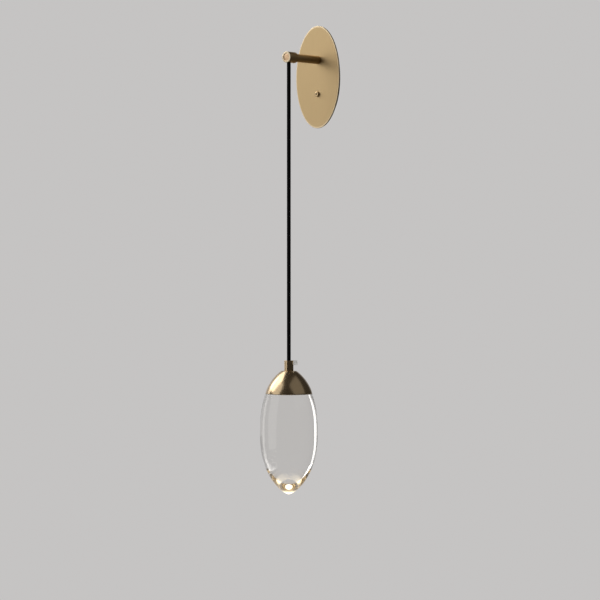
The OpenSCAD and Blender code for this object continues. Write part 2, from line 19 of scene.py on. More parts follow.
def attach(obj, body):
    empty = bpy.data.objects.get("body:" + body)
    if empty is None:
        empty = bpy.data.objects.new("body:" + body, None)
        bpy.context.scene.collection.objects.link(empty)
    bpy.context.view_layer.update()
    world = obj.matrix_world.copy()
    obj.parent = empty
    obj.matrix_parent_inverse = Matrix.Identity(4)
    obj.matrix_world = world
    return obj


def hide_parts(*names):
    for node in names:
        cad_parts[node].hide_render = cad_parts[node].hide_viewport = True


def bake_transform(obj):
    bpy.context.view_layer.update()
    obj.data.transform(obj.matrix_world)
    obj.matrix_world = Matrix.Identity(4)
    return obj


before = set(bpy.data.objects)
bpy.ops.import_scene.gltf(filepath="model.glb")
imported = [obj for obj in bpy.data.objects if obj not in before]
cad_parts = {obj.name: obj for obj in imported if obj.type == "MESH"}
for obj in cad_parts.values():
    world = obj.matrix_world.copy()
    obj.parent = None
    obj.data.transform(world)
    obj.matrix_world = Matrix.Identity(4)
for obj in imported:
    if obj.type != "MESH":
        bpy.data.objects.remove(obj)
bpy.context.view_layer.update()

log = logging.getLogger("wall_lamp")

Point = tuple[float, float, float]
Colour = tuple[float, float, float, float]
Spot = tuple[float, float]
Profile = list[Spot]
Piece = bpy.types.Object
Material = bpy.types.Material
Node = bpy.types.Node
Socket = bpy.types.NodeSocket
Setting = object
Feed = object

MM = 0.001
FULL_TURN = 2.0 * math.pi
CORD_MAP = "lay"

# The turn, in degrees, that makes a flat shape face forward or points a cutter's axis forward
FORWARD: Point = (90.0, 0.0, 0.0)

# Corners closer together than this, in metres, are one
SAME_PLACE = 2e-6

# Where the arm, the plate's screw and the cord lie, in millimetres
ARM_Z = 25.0
SCREW_Z = -25.0
CORD_OUT = 87.7

# Sides, radius and height of the holes for the arm's root and the screw, in millimetres
FIXING_HOLES = ((48, 5.1, ARM_Z), (32, 2.1, SCREW_Z))
HOLE_LEN = 6.0

# A face looks along an axis where its unit normal reaches further than this along it
ALONG = 0.9

# A face looks across an axis where its unit normal reaches less than this along it
ACROSS = 0.5


def rgb(red: float, green: float, blue: float) -> Colour:
    """An opaque colour."""
    return (red, green, blue, 1.0)


BLACK = rgb(0.0, 0.0, 0.0)
BROWN_CORE = rgb(0.16, 0.06, 0.03)
BLUE_CORE = rgb(0.03, 0.10, 0.35)


class Body(Enum):
    """The bodies that pieces ride on."""

    WALL = "wall_side"
    BEND = "bend"
    CORD = "cord"
    PENDANT = "pendant"


class Axis(Enum):
    """The direction of a turned piece's own axis."""

    OUTWARD = (0.0, -1.0, 0.0)
    UPWARD = (0.0, 0.0, 1.0)


class Part(Enum):
    """The parts of a mesh that are selected in edit mode."""

    CORNERS = "VERT"
    FACES = "FACE"


# Shader writing


class Signal:
    """A number that varies over a surface, with arithmetic that adds Math nodes."""

    def __init__(self, tree: bpy.types.NodeTree, socket: Socket) -> None:
        """Wraps an output socket that carries the number."""
        self.tree = tree
        self.socket = socket

    def _math(self, operation: str, *operands: "Signal | float") -> "Signal":
        """Adds one Math node and returns its result."""
        node = self.tree.nodes.new("ShaderNodeMath")
        node.operation = operation
        for socket, operand in zip(node.inputs, operands):
            if isinstance(operand, Signal):
                self.tree.links.new(operand.socket, socket)
            else:
                socket.default_value = operand
        return Signal(self.tree, node.outputs[0])

    def __add__(self, other: "Signal | float") -> "Signal":
        """Sum."""
        return self._math("ADD", self, other)

    def __radd__(self, other: float) -> "Signal":
        """Sum with the number first."""
        return self._math("ADD", other, self)

    def __sub__(self, other: "Signal | float") -> "Signal":
        """Difference."""
        return self._math("SUBTRACT", self, other)

    def __rsub__(self, other: float) -> "Signal":
        """Difference with the number first."""
        return self._math("SUBTRACT", other, self)

    def __mul__(self, other: "Signal | float") -> "Signal":
        """Product."""
        return self._math("MULTIPLY", self, other)

    def __rmul__(self, other: float) -> "Signal":
        """Product with the number first."""
        return self._math("MULTIPLY", other, self)

    def __pow__(self, other: float) -> "Signal":
        """Power."""
        return self._math("POWER", self, other)

    def wave(self) -> "Signal":
        """Sine of the value, in radians."""
        return self._math("SINE", self)

    def between(self, low: float, high: float) -> "Signal":
        """The value held between two limits."""
        return self._math("MINIMUM", self._math("MAXIMUM", self, low), high)

    def unit(self) -> "Signal":
        """The value held between zero and one."""
        return self.between(0.0, 1.0)

    def above(self, threshold: float) -> "Signal":
        """One where the value is greater than the threshold, and otherwise zero."""
        return self._math("GREATER_THAN", self, threshold)


class Nodes:
    """A node tree while it is written."""

    def __init__(self, tree: bpy.types.NodeTree, coordinates: str) -> None:
        """Empties a tree and takes the coordinates that its patterns follow."""
        self.tree = tree
        tree.nodes.clear()
        self.place = self.add("ShaderNodeTexCoord").outputs[coordinates]

    def add(
        self,
        kind: str,
        settings: Mapping[str, Setting] | None = None,
        feeds: Mapping[str | int, Feed] | None = None,
    ) -> Node:
        """Adds a node of any type.

        Args:
            kind: The node's type.
            settings: Its settings, set before its sockets.
            feeds: Values, sockets or signals for its input sockets, by name or number.

        Returns:
            The new node.
        """
        node = self.tree.nodes.new(kind)
        for name, value in (settings or {}).items():
            setattr(node, name, value)
        for key, value in (feeds or {}).items():
            socket = node.inputs[key]
            if isinstance(value, Signal):
                self.tree.links.new(value.socket, socket)
            elif isinstance(value, Socket):
                self.tree.links.new(value, socket)
            else:
                socket.default_value = value
        return node

    def signal(self, node: Node, output: str | int = 0) -> Signal:
        """Wraps a node's output as a number."""
        return Signal(self.tree, node.outputs[output])

    def vector(self, operation: str, first: Feed, second: Feed = (0.0, 0.0, 0.0)) -> Node:
        """Adds a Vector Math node."""
        return self.add("ShaderNodeVectorMath", {"operation": operation}, {0: first, 1: second})

    def coordinate(self, axis: str, of: Socket | None = None) -> Signal:
        """Takes one coordinate out of the place, or out of another vector."""
        return self.signal(self.add("ShaderNodeSeparateXYZ", None, {0: of or self.place}), axis)

    def along(self, direction: Point, of: Socket | None = None) -> Signal:
        """Tells how far the place, or another vector, reaches along a direction."""
        return self.signal(self.vector("DOT_PRODUCT", of or self.place, direction), "Value")

    def away(self, point: Point = (0.0, 0.0, 0.0), stretch: Point = (1.0, 1.0, 1.0)) -> Signal:
        """Measures the distance from a point.

        Args:
            point: The point.
            stretch: What each coordinate is multiplied by first; zero leaves it out.

        Returns:
            The distance, in metres where nothing is stretched.
        """
        stretched = self.vector("MULTIPLY", self.place, stretch)
        return self.signal(self.vector("DISTANCE", stretched.outputs[0], point), "Value")

    def noise(
        self,
        scale: float,
        stretch: Point = (1.0, 1.0, 1.0),
        detail: float = 2.0,
        place: Socket | None = None,
    ) -> Signal:
        """Adds a noise pattern.

        Args:
            scale: Cells in a metre before the stretch.
            stretch: How much denser the pattern is along each axis.
            detail: Octaves of finer noise.
            place: The coordinates, if they aren't the object's own.

        Returns:
            A value that wanders round 0.5.
        """
        mapped = self.add(
            "ShaderNodeMapping", None, {"Vector": place or self.place, "Scale": stretch}
        )
        return self.signal(
            self.add(
                "ShaderNodeTexNoise",
                {"noise_dimensions": "3D"},
                {"Vector": mapped.outputs["Vector"], "Scale": scale, "Detail": detail},
            )
        )

    def tint(self, mask: Signal, low: Feed, high: Feed) -> Socket:
        """Mixes two colours, or sockets that carry them; a mask of zero gives the first."""
        node = self.add("ShaderNodeMix", {"data_type": "RGBA"}, {0: mask, 6: low, 7: high})
        return node.outputs[2]

    def relief(self, height: Signal, strength: float, depth: float) -> Socket:
        """Adds a bump from a height of zero to one; its depth is in millimetres."""
        return self.add(
            "ShaderNodeBump",
            None,
            {"Strength": strength, "Distance": depth * MM, "Height": height},
        ).outputs["Normal"]


class Recipe(Nodes):
    """A material while it is written, with its patterns on the object's own coordinates."""

    def __init__(self, name: str) -> None:
        """Starts an empty material."""
        self.material = bpy.data.materials.new(name)
        self.material.use_nodes = True
        super().__init__(self.material.node_tree, "Object")

    def surface(self, feeds: Mapping[str, Feed]) -> Material:
        """Closes the recipe with its surface shader and returns the finished material."""
        shader = self.add("ShaderNodeBsdfPrincipled", None, feeds)
        self.add("ShaderNodeOutputMaterial", None, {"Surface": shader.outputs[0]})
        return self.material


# Finishes


@dataclass(frozen=True)
class BrushedMetal:
    """A metal whose fine lines run along one direction.

    Attributes:
        name: The material's name.
        light: Colour of its brighter grain.
        dark: Colour of its duller grain.
        roughness: Middle roughness.
        wander: How much the roughness wanders.
        lines: Density of the brush lines along each axis.
        depth: Height of the lines, in millimetres.
        lacquer: Weight of the clear lacquer over the metal.
        lacquer_roughness: Roughness of the lacquer.
        cloud_cells: Cells of the wide cloudiness in a metre.
        fine_share: Share of the lines in the colour's grain; the rest is cloudiness.
        relief: How much of the lines' height shows.
    """

    name: str
    light: Colour
    dark: Colour
    roughness: float
    wander: float
    lines: Point
    depth: float = 0.01
    lacquer: float = 0.0
    lacquer_roughness: float = 0.12
    cloud_cells: float = 38.0
    fine_share: float = 0.65
    relief: float = 0.35

    def material(self) -> Material:
        """Writes the metal's nodes."""
        recipe = Recipe(self.name)
        fine = recipe.noise(1.0, self.lines, detail=3.0)
        cloud = recipe.noise(self.cloud_cells, detail=2.0)
        grain = (fine * self.fine_share + cloud * (1.0 - self.fine_share)).unit()
        sway = self.wander * (fine - 0.5 + 0.6 * (cloud - 0.5))
        return recipe.surface(
            {
                "Base Color": self._colour(recipe, recipe.tint(grain, self.dark, self.light)),
                "Metallic": 1.0,
                "Roughness": (self.roughness + sway).between(0.05, 1.0),
                "Normal": recipe.relief(fine, self.relief, self.depth),
                "Coat Weight": self.lacquer,
                "Coat Roughness": self.lacquer_roughness,
            }
        )

    def _colour(self, recipe: Recipe, grain: Socket) -> Socket:
        """Gives the grain's colour; the plate's and the arm's finishes lay their painted highlights
        over it.
        """
        return grain


@dataclass(frozen=True)
class RimHighlightMetal(BrushedMetal):
    """The plate's brass, with a painted highlight: a paler line along its rim.

    Attributes:
        rim: Colour of the painted highlight along the rim.
        half_width: Half the oval's width, in millimetres.
        half_height: Half its height, in millimetres.
        line: Share of the oval that the painted highlight's line takes.
    """

    rim: Colour = rgb(0.90, 0.74, 0.50)
    half_width: float = 41.0
    half_height: float = 75.0
    line: float = 0.035

    def _colour(self, recipe: Recipe, grain: Socket) -> Socket:
        """Lays the rim's painted highlight over the grain."""
        oval = (1.0 / (self.half_width * MM), 0.0, 1.0 / (self.half_height * MM))
        past = recipe.away(stretch=oval) - (1.0 - self.line)
        # The paler rim line is a painted highlight, standing in for light caught by the bevel.
        return recipe.tint((past * (2.0 / self.line)).unit(), grain, self.rim)


@dataclass(frozen=True)
class FacedMetal(BrushedMetal):
    """The arm's brass, with a painted highlight on the ring round its end face's disc, and a warmer
    colour on the disc.

    Attributes:
        ring: Colour of the painted highlight on the ring.
        disc: Colour of the disc.
        face: Distance of the face from the mounting plane, in millimetres.
        disc_r: Radius of the disc, in millimetres.
        clearness: How much the ring's painted highlight and the disc's colour cover the grain.
    """

    # The ring's paler colour is a painted highlight
    ring: Colour = rgb(0.78, 0.67, 0.50)
    disc: Colour = rgb(0.74, 0.52, 0.35)
    face: float = 92.6
    disc_r: float = 5.3
    clearness: float = 0.8

    def _colour(self, recipe: Recipe, grain: Socket) -> Socket:
        """Lays the ring's painted highlight and the disc's warmer colour over the grain."""
        front = (recipe.coordinate("Y") * -1.0).above(self.face * MM)
        out = recipe.away((0.0, 0.0, ARM_Z * MM), stretch=(1.0, 0.0, 1.0))
        # Painted highlight on the ring, and a warmer colour on the disc inside it
        ring_highlight_and_disc = recipe.tint(out.above(self.disc_r * MM), self.disc, self.ring)
        return recipe.tint(front * self.clearness, grain, ring_highlight_and_disc)


@dataclass(frozen=True)
class Moulded:
    """A plastic, rubber or powder coat with a fine skin texture.

    Attributes:
        name: The material's name.
        light: Its lighter colour.
        dark: Its darker colour.
        roughness: Middle roughness.
        cells: Texture cells in a metre.
        depth: Height of the texture, in millimetres.
        clearness: How much light passes.
        index: Refractive index.
        cloud_cells: Cells of the wide cloudiness in a metre.
        wander: How much the roughness wanders.
    """

    name: str
    light: Colour
    dark: Colour
    roughness: float
    cells: float = 2500.0
    depth: float = 0.02
    clearness: float = 0.0
    index: float = 1.5
    cloud_cells: float = 60.0
    wander: float = 0.12

    def material(self) -> Material:
        """Writes the skin's nodes."""
        recipe = Recipe(self.name)
        skin = recipe.noise(self.cells, detail=2.0)
        cloud = recipe.noise(self.cloud_cells, detail=2.0)
        return recipe.surface(
            {
                "Base Color": recipe.tint(cloud, self.dark, self.light),
                "Roughness": (self.roughness + (cloud - 0.5) * self.wander).between(0.05, 1.0),
                "Transmission Weight": self.clearness,
                "IOR": self.index,
                "Normal": recipe.relief(skin, 0.4, self.depth),
            }
        )


@dataclass(frozen=True)
class TwoCores:
    """Silicone sheaths of a brown and a blue core, one on each side of a middle line.

    Attributes:
        name: The material's name.
        middle: Where the X coordinate changes over from brown to blue, in millimetres.
        cloud_cells: Cells of the cloudiness in a metre.
    """

    name: str
    middle: float = 0.0
    cloud_cells: float = 90.0

    def material(self) -> Material:
        """Writes the sheaths' nodes."""
        recipe = Recipe(self.name)
        side = recipe.coordinate("X").above(self.middle * MM)
        cloud = recipe.noise(self.cloud_cells)
        return recipe.surface(
            {
                "Base Color": recipe.tint(side, BROWN_CORE, BLUE_CORE),
                "Roughness": 0.4 + cloud * 0.15,
                "Normal": recipe.relief(cloud, 0.2, 0.02),
            }
        )


@dataclass(frozen=True)
class Textile:
    """A woven sheath, drawn on the cord's own map: u goes round it and v along it.

    Attributes:
        name: The material's name.
        thread: Colour on top of the threads.
        gap_shade: Colour between the threads, a painted shade.
        strands: Strands that run round in each direction.
        pitch: Length in which a strand goes round once, in millimetres.
        fibres: Density of the fibres round the cord and along it.
        thickness: Height of the threads, in millimetres.
    """

    name: str = "woven_black_textile"
    thread: Colour = rgb(0.013, 0.012, 0.013)
    gap_shade: Colour = rgb(0.002, 0.002, 0.002)
    strands: int = 12
    pitch: float = 13.0
    fibres: Point = (240.0, 9000.0, 1.0)
    thickness: float = 0.16

    def material(self) -> Material:
        """Writes the weave's nodes."""
        recipe = Recipe(self.name)
        laid = recipe.add("ShaderNodeUVMap", {"uv_map": CORD_MAP}).outputs["UV"]
        turns = FULL_TURN * self.strands
        around = recipe.coordinate("X", laid) * turns
        along = recipe.coordinate("Y", laid) * (turns / (self.pitch * MM))
        over = (around + along).wave() * 0.5 + 0.5
        under = (around - along).wave() * 0.5 + 0.5
        weave = (over * (1.0 - under) + under * (1.0 - over)).unit()
        fibre = recipe.noise(1.0, self.fibres, detail=2.0, place=laid)
        lit = (weave * 0.75 + fibre * 0.25).unit()
        return recipe.surface(
            {
                # The threads' tops are painted lighter and the gaps between them darker, as painted
                # light and shade; the fibres add grain
                "Base Color": recipe.tint(lit, self.gap_shade, self.thread),
                "Roughness": 0.95 - fibre * 0.2,
                "Sheen Weight": 0.04,
                "Sheen Roughness": 0.4,
                "Specular IOR Level": 0.12,
                "Normal": recipe.relief(weave, 0.8, self.thickness),
            }
        )


@dataclass(frozen=True)
class CastGlass:
    """Polished solid crystal with the faint waves of a casting.

    Attributes:
        name: The material's name.
        colour: The crystal's own tint.
        index: Refractive index.
        wave_cells: Cells of the waves in a metre.
        smear_cells: Cells of the polish's wander in a metre.
        ground_above: Height above which the crystal is ground and not polished, in millimetres.
        ground_roughness: Roughness of the ground faces.
        hot: Light on the ground top right under the source.
        hot_r: Radius of that spot, in millimetres.
        hot_fade: Share of it that is lost in each millimetre past that radius.
        amber: Light on the rest of the ground top.
        ring_turn: Radians of the faint rings in a millimetre.
        ring_dip: How much darker and brighter than their middle they are.
        fade: Share of the amber light lost in a millimetre.
        least: Share of it that is left at the edge.
        tip: Light that gathers in the tip.
        tip_from: Height below which the tip begins to shine, in millimetres.
        tip_full: Height at which it shines fully, in millimetres.
    """

    name: str = "polished_crystal"
    colour: Colour = rgb(0.935, 0.925, 0.91)
    index: float = 1.52
    wave_cells: float = 55.0
    smear_cells: float = 16.0
    ground_above: float = -462.25
    ground_roughness: float = 0.45
    hot: Colour = rgb(2.4, 2.0, 1.3)
    hot_r: float = 13.0
    hot_fade: float = 0.2
    amber: Colour = rgb(0.75, 0.50, 0.20)
    ring_turn: float = 1.6
    ring_dip: float = 0.35
    fade: float = 0.028
    least: float = 0.25
    tip: Colour = rgb(2.0, 1.75, 1.25)
    tip_from: float = -600.5
    tip_full: float = -606.0

    def material(self) -> Material:
        """Writes the crystal's nodes."""
        recipe = Recipe(self.name)
        waves = recipe.noise(self.wave_cells, detail=1.0)
        smear = recipe.noise(self.smear_cells, (1.0, 1.0, 0.5), detail=3.0)
        height = recipe.coordinate("Z") * (1.0 / MM)
        ground = height.above(self.ground_above)
        polish = (smear * 0.03 - 0.008).between(0.0, 0.05)
        return recipe.surface(
            {
                "Base Color": self.colour,
                "Roughness": polish + ground * self.ground_roughness,
                "Transmission Weight": 1.0,
                "IOR": self.index,
                "Normal": recipe.relief(waves, 0.05, 0.3),
                "Emission Color": self._glow(recipe, ground, height),
                "Emission Strength": 1.0,
            }
        )

    def _glow(self, recipe: Recipe, ground: Signal, height: Signal) -> Socket:
        """Writes the lamp's light on the ground top, in amber rings, and in the tip.

        Args:
            recipe: The crystal's recipe.
            ground: One on the ground faces.
            height: Height in millimetres.

        Returns:
            The light's colour, black on the polished sides.
        """
        out = recipe.away((0.0, -CORD_OUT * MM, 0.0), stretch=(1.0, 1.0, 0.0)) * (1.0 / MM)
        hot = (1.0 - (out - self.hot_r) * self.hot_fade).unit()
        rings = (out * self.ring_turn).wave() * self.ring_dip + (1.0 - self.ring_dip)
        faint = (1.0 - out * self.fade).between(self.least, 1.0)
        warm = recipe.tint(rings * faint * ground, BLACK, self.amber)
        top = recipe.tint(hot * ground, warm, self.hot)
        depth = (self.tip_from - height) * (1.0 / (self.tip_from - self.tip_full))
        return recipe.tint(depth.unit() ** 2.0, top, self.tip)


@dataclass(frozen=True)
class Phosphor:
    """The yellow disc of the light source, lit.

    Attributes:
        centre: The middle of the disc, in metres.
        name: The material's name.
        colour: The disc's colour.
        warm: Colour of its light at the rim.
        bright: Colour of its light in the middle.
        strength: Strength of the light.
        radius: The disc's radius, in millimetres.
        dot_cells: Cells of its grain in a metre.
    """

    centre: Point
    name: str = "lit_phosphor"
    colour: Colour = rgb(0.95, 0.78, 0.32)
    warm: Colour = rgb(1.0, 0.70, 0.30)
    bright: Colour = rgb(1.0, 0.86, 0.58)
    strength: float = 45.0
    radius: float = 5.5
    dot_cells: float = 2600.0

    def material(self) -> Material:
        """Writes the disc's nodes."""
        recipe = Recipe(self.name)
        rim = (recipe.away(self.centre) * (1.0 / (self.radius * MM))).unit() ** 2.0
        dots = recipe.noise(self.dot_cells)
        share = (rim + dots * 0.2).unit()
        return recipe.surface(
            {
                "Base Color": self.colour,
                "Roughness": 0.45,
                "Emission Color": recipe.tint(share, self.bright, self.warm),
                "Emission Strength": self.strength,
                "Normal": recipe.relief(dots, 0.2, 0.05),
            }
        )


@dataclass(frozen=True)
class Finishes:
    """All finishes of the lamp, by the part that wears them.

    A metal's figures are its two colours, roughness, wander, lines, depth and lacquer; a moulded
    skin's are its two colours, roughness, cells, depth, clearness and refractive index.
    """

    plate: BrushedMetal = RimHighlightMetal(
        "satin_plate_brass", rgb(0.675, 0.51, 0.285), rgb(0.60, 0.445, 0.242),
        0.44, 0.10, (1500.0, 1500.0, 30.0),
    )
    arm: BrushedMetal = FacedMetal(
        "turned_arm_brass", rgb(0.74, 0.55, 0.31), rgb(0.64, 0.46, 0.24),
        0.36, 0.10, (20.0, 2600.0, 20.0),
    )
    cap: BrushedMetal = BrushedMetal(
        "turned_cap_brass", rgb(0.68, 0.52, 0.32), rgb(0.60, 0.45, 0.27),
        0.23, 0.06, (12.0, 12.0, 5200.0), 0.004, 0.6,
    )
    screw: BrushedMetal = BrushedMetal(
        "polished_screw_brass", rgb(0.72, 0.55, 0.33), rgb(0.62, 0.46, 0.26),
        0.22, 0.08, (500.0, 500.0, 500.0),
    )
    contact: BrushedMetal = BrushedMetal(
        "machined_brass", rgb(0.74, 0.56, 0.26), rgb(0.60, 0.43, 0.18),
        0.34, 0.1, (1200.0, 1200.0, 200.0),
    )
    steel: BrushedMetal = BrushedMetal(
        "zinc_plated_steel", rgb(0.66, 0.67, 0.69), rgb(0.50, 0.51, 0.54),
        0.38, 0.16, (160.0, 160.0, 260.0),
    )
    sink: BrushedMetal = BrushedMetal(
        "turned_aluminium", rgb(0.80, 0.80, 0.82), rgb(0.66, 0.66, 0.69),
        0.33, 0.1, (40.0, 40.0, 2400.0),
    )
    coat: Moulded = Moulded(
        "black_powder_coat", rgb(0.022, 0.022, 0.023), rgb(0.012, 0.012, 0.013), 0.62, 1800.0, 0.05
    )
    rubber: Moulded = Moulded(
        "black_rubber", rgb(0.030, 0.030, 0.030), rgb(0.018, 0.018, 0.018), 0.75
    )
    nylon: Moulded = Moulded("white_nylon", rgb(0.80, 0.79, 0.75), rgb(0.70, 0.69, 0.65), 0.42)
    clear: Moulded = Moulded(
        "clear_nylon", rgb(0.95, 0.95, 0.93), rgb(0.88, 0.88, 0.86), 0.1, 900.0, 0.01, 0.9, 1.25
    )
    board: Moulded = Moulded(
        "green_circuit_board", rgb(0.05, 0.26, 0.10), rgb(0.02, 0.15, 0.06), 0.35
    )
    white_board: Moulded = Moulded(
        "white_circuit_board", rgb(0.86, 0.86, 0.84), rgb(0.76, 0.76, 0.74), 0.38
    )
    gasket: Moulded = Moulded(
        "clear_silicone", rgb(0.80, 0.80, 0.76), rgb(0.68, 0.68, 0.64), 0.35, 900.0, 0.03, 0.6
    )
    textile: Textile = Textile()
    glass: CastGlass = CastGlass()


# Modelling


def named(name: str) -> Piece:
    """Names the object that an operator has just added, and returns it."""
    piece = bpy.context.object
    piece.name = piece.data.name = name
    return piece


def deselect() -> None:
    """Leaves edit mode and deselects everything."""
    if bpy.context.object is not None and bpy.context.object.mode != "OBJECT":
        bpy.ops.object.mode_set(mode="OBJECT")
    bpy.ops.object.select_all(action="DESELECT")


def take(piece: Piece) -> None:
    """Makes one object the only selected and active one."""
    deselect()
    piece.select_set(True)
    bpy.context.view_layer.objects.active = piece


def edit(piece: Piece, part: Part = Part.CORNERS, chosen: Iterable[int] | None = None) -> None:
    """Enters edit mode with all of a piece selected, or only some of its corners or faces.

    Args:
        piece: The piece.
        part: What is selected.
        chosen: Numbers of the corners or faces that are selected, or None for all.
    """
    take(piece)
    bpy.ops.object.mode_set(mode="EDIT")
    bpy.ops.mesh.select_mode(type=part.value)
    bpy.ops.mesh.select_all(action="SELECT" if chosen is None else "DESELECT")
    if chosen is not None:
        bpy.ops.object.mode_set(mode="OBJECT")
        parts = piece.data.vertices if part is Part.CORNERS else piece.data.polygons
        for index in chosen:
            parts[index].select = True
        bpy.ops.object.mode_set(mode="EDIT")


def extrude(way: Point) -> None:
    """Extrudes what is selected, by a way in millimetres."""
    move = {"value": tuple(c * MM for c in way)}
    bpy.ops.mesh.extrude_region_move(TRANSFORM_OT_translate=move)


def modify(piece: Piece, kind: str, **settings: Setting) -> None:
    """Adds a modifier to a piece and applies it."""
    take(piece)
    bpy.ops.object.modifier_add(type=kind)
    modifier = piece.modifiers[-1]
    for name, value in settings.items():
        setattr(modifier, name, value)
    bpy.ops.object.modifier_apply(modifier=modifier.name)


def settle(piece: Piece) -> None:
    """Applies the object's own place and turn to its mesh."""
    take(piece)
    bpy.ops.object.transform_apply(location=True, rotation=True, scale=True)


def tidy_shell(piece: Piece, angle: float = 32.0) -> None:
    """Merges doubles, turns the faces outwards and smooths the curved ones.

    Args:
        piece: The mesh.
        angle: Edges sharper than this, in degrees, stay sharp.
    """
    edit(piece)
    bpy.ops.mesh.remove_doubles(threshold=SAME_PLACE)
    bpy.ops.mesh.normals_make_consistent(inside=False)
    bpy.ops.object.mode_set(mode="OBJECT")
    bpy.ops.object.shade_smooth_by_angle(angle=math.radians(angle))


def turned(name: str, profile: Profile, centre: Point, axis: Axis, steps: int = 96) -> Piece:
    """Draws a profile out of one point and spins it into a turned piece.

    Args:
        name: The piece's name.
        profile: Radius and distance along the axis, in millimetres, in order.
        centre: A point on the axis, in millimetres, where the distance is zero.
        axis: The direction of the axis.
        steps: Faces round the axis.

    Returns:
        The closed, smoothed piece.
    """
    along = Vector(axis.value)
    across = Vector((1.0, 0.0, 0.0))
    origin = Vector(centre) * MM
    points = [origin + (across * r + along * d) * MM for r, d in profile]
    deselect()
    bpy.ops.mesh.primitive_plane_add(size=MM)
    piece = named(name)
    edit(piece)
    bpy.ops.mesh.merge(type="CENTER")
    bpy.ops.transform.translate(value=points[0])
    for before, after in zip(points, points[1:]):
        bpy.ops.mesh.extrude_vertices_move(TRANSFORM_OT_translate={"value": after - before})
    bpy.ops.mesh.select_all(action="SELECT")
    bpy.ops.mesh.spin(steps=steps, angle=FULL_TURN, center=origin, axis=along)
    tidy_shell(piece)
    return piece


def corner(at: Spot, before: Spot, after: Spot, size: float, n: int = 4) -> Profile:
    """Rounds one corner of a profile.

    Args:
        at: The sharp corner.
        before: The point that the profile comes from.
        after: The point that it goes to.
        size: Distance from the corner at which the rounding begins and ends.
        n: Number of steps in the rounding.

    Returns:
        The points that take the corner's place.
    """
    c, b, a = Vector(at), Vector(before), Vector(after)
    start = c + (b - c).normalized() * min(size, (b - c).length * 0.5)
    stop = c + (a - c).normalized() * min(size, (a - c).length * 0.5)
    shares = [i / n for i in range(n + 1)]
    points = [start * (1 - t) ** 2 + c * 2 * t * (1 - t) + stop * t**2 for t in shares]
    return [(p.x, p.y) for p in points]


def ridges(first: float, pitch: float, turns: int, near: float, far: float) -> Profile:
    """Draws the ridges of a thread.

    Args:
        first: Distance along the axis at which they begin.
        pitch: Length of a turn, negative where the profile runs back.
        turns: Number of turns.
        near: Radius at the beginning of each turn.
        far: Radius half a turn on.

    Returns:
        The thread's points.
    """
    starts = [first + i * pitch for i in range(turns)]
    return [point for d in starts for point in ((near, d), (far, d + pitch / 2))]


def oval(name: str, sides: int, width: float, height: float, back: float, full: bool) -> Piece:
    """Adds a flat oval that faces forward.

    Args:
        name: The piece's name.
        sides: Number of its sides.
        width: Its width, in millimetres.
        height: Its height, in millimetres.
        back: Its distance from the mounting plane, in millimetres.
        full: Whether it has a face, or only an outline.

    Returns:
        The oval.
    """
    deselect()
    bpy.ops.mesh.primitive_circle_add(
        vertices=sides,
        radius=0.5 * MM,
        fill_type="NGON" if full else "NOTHING",
        location=(0.0, -back * MM, 0.0),
        rotation=[math.radians(a) for a in FORWARD],
    )
    piece = named(name)
    piece.scale = (width, height, 1.0)
    settle(piece)
    return piece


def cutter(
    sides: int,
    radius: float,
    length: float,
    centre: Point,
    turn: Point = (0.0, 0.0, 0.0),
    top: float | None = None,
) -> Piece:
    """Adds a prism or a cone to cut with.

    Args:
        sides: Number of its sides.
        radius: Radius of its corners, in millimetres.
        length: Its length, in millimetres.
        centre: Its middle, in millimetres.
        turn: Its rotation, in degrees.
        top: Radius of its far end, where that is another one.

    Returns:
        The cutter.
    """
    deselect()
    bpy.ops.mesh.primitive_cone_add(
        vertices=sides,
        radius1=radius * MM,
        radius2=(radius if top is None else top) * MM,
        depth=length * MM,
        location=Vector(centre) * MM,
        rotation=[math.radians(a) for a in turn],
    )
    return bpy.context.object


def cut(piece: Piece, *cutters: Piece) -> None:
    """Cuts each cutter out of a piece, in order, and removes the cutter."""
    for tool in cutters:
        modify(piece, "BOOLEAN", operation="DIFFERENCE", solver="EXACT", object=tool)
        bpy.data.objects.remove(tool, do_unlink=True)


def cut_fixing_holes(piece: Piece, middle: float) -> None:
    """Cuts the holes for the arm's root and the plate's screw.

    Args:
        piece: The plate, or the box behind it.
        middle: Distance of the cut sheet's middle from the mounting plane, in millimetres.
    """
    for sides, radius, z in FIXING_HOLES:
        cut(piece, cutter(sides, radius, HOLE_LEN, (0.0, -middle, z), FORWARD))


def bevelled(piece: Piece, width: float, segments: int, angle: float = 40.0) -> None:
    """Bevels a piece's sharp edges.

    Args:
        piece: The piece.
        width: Width of the bevel, in millimetres.
        segments: Faces across it.
        angle: Edges sharper than this, in degrees, are bevelled.
    """
    limit = {"limit_method": "ANGLE", "angle_limit": math.radians(angle)}
    modify(piece, "BEVEL", width=width * MM, segments=segments, **limit)


def hand_over(
    piece: Piece, material: Material, nodes: list[str], body: Body | None
) -> None:
    """Dresses a finished piece and ties it to the frame.

    Args:
        piece: The piece.
        material: Its material.
        nodes: The CAD nodes that it stands for.
        body: The body that it rides on, or None where it bends between two.
    """
    piece.data.materials.clear()
    piece.data.materials.append(material)
    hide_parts(*nodes)
    if body is not None:
        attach(piece, body.value)
    faces = len(piece.data.polygons)
    log.info("built %s: %d faces, stands for %s", piece.name, faces, ", ".join(nodes))


def dress(nodes: Iterable[str], material: Material) -> None:
    """Gives carried-over CAD nodes a material."""
    for name in nodes:
        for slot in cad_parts[name].material_slots:
            slot.material = material
        log.info("dressed %s with %s", name, material.name)


# Camera, lights and floor


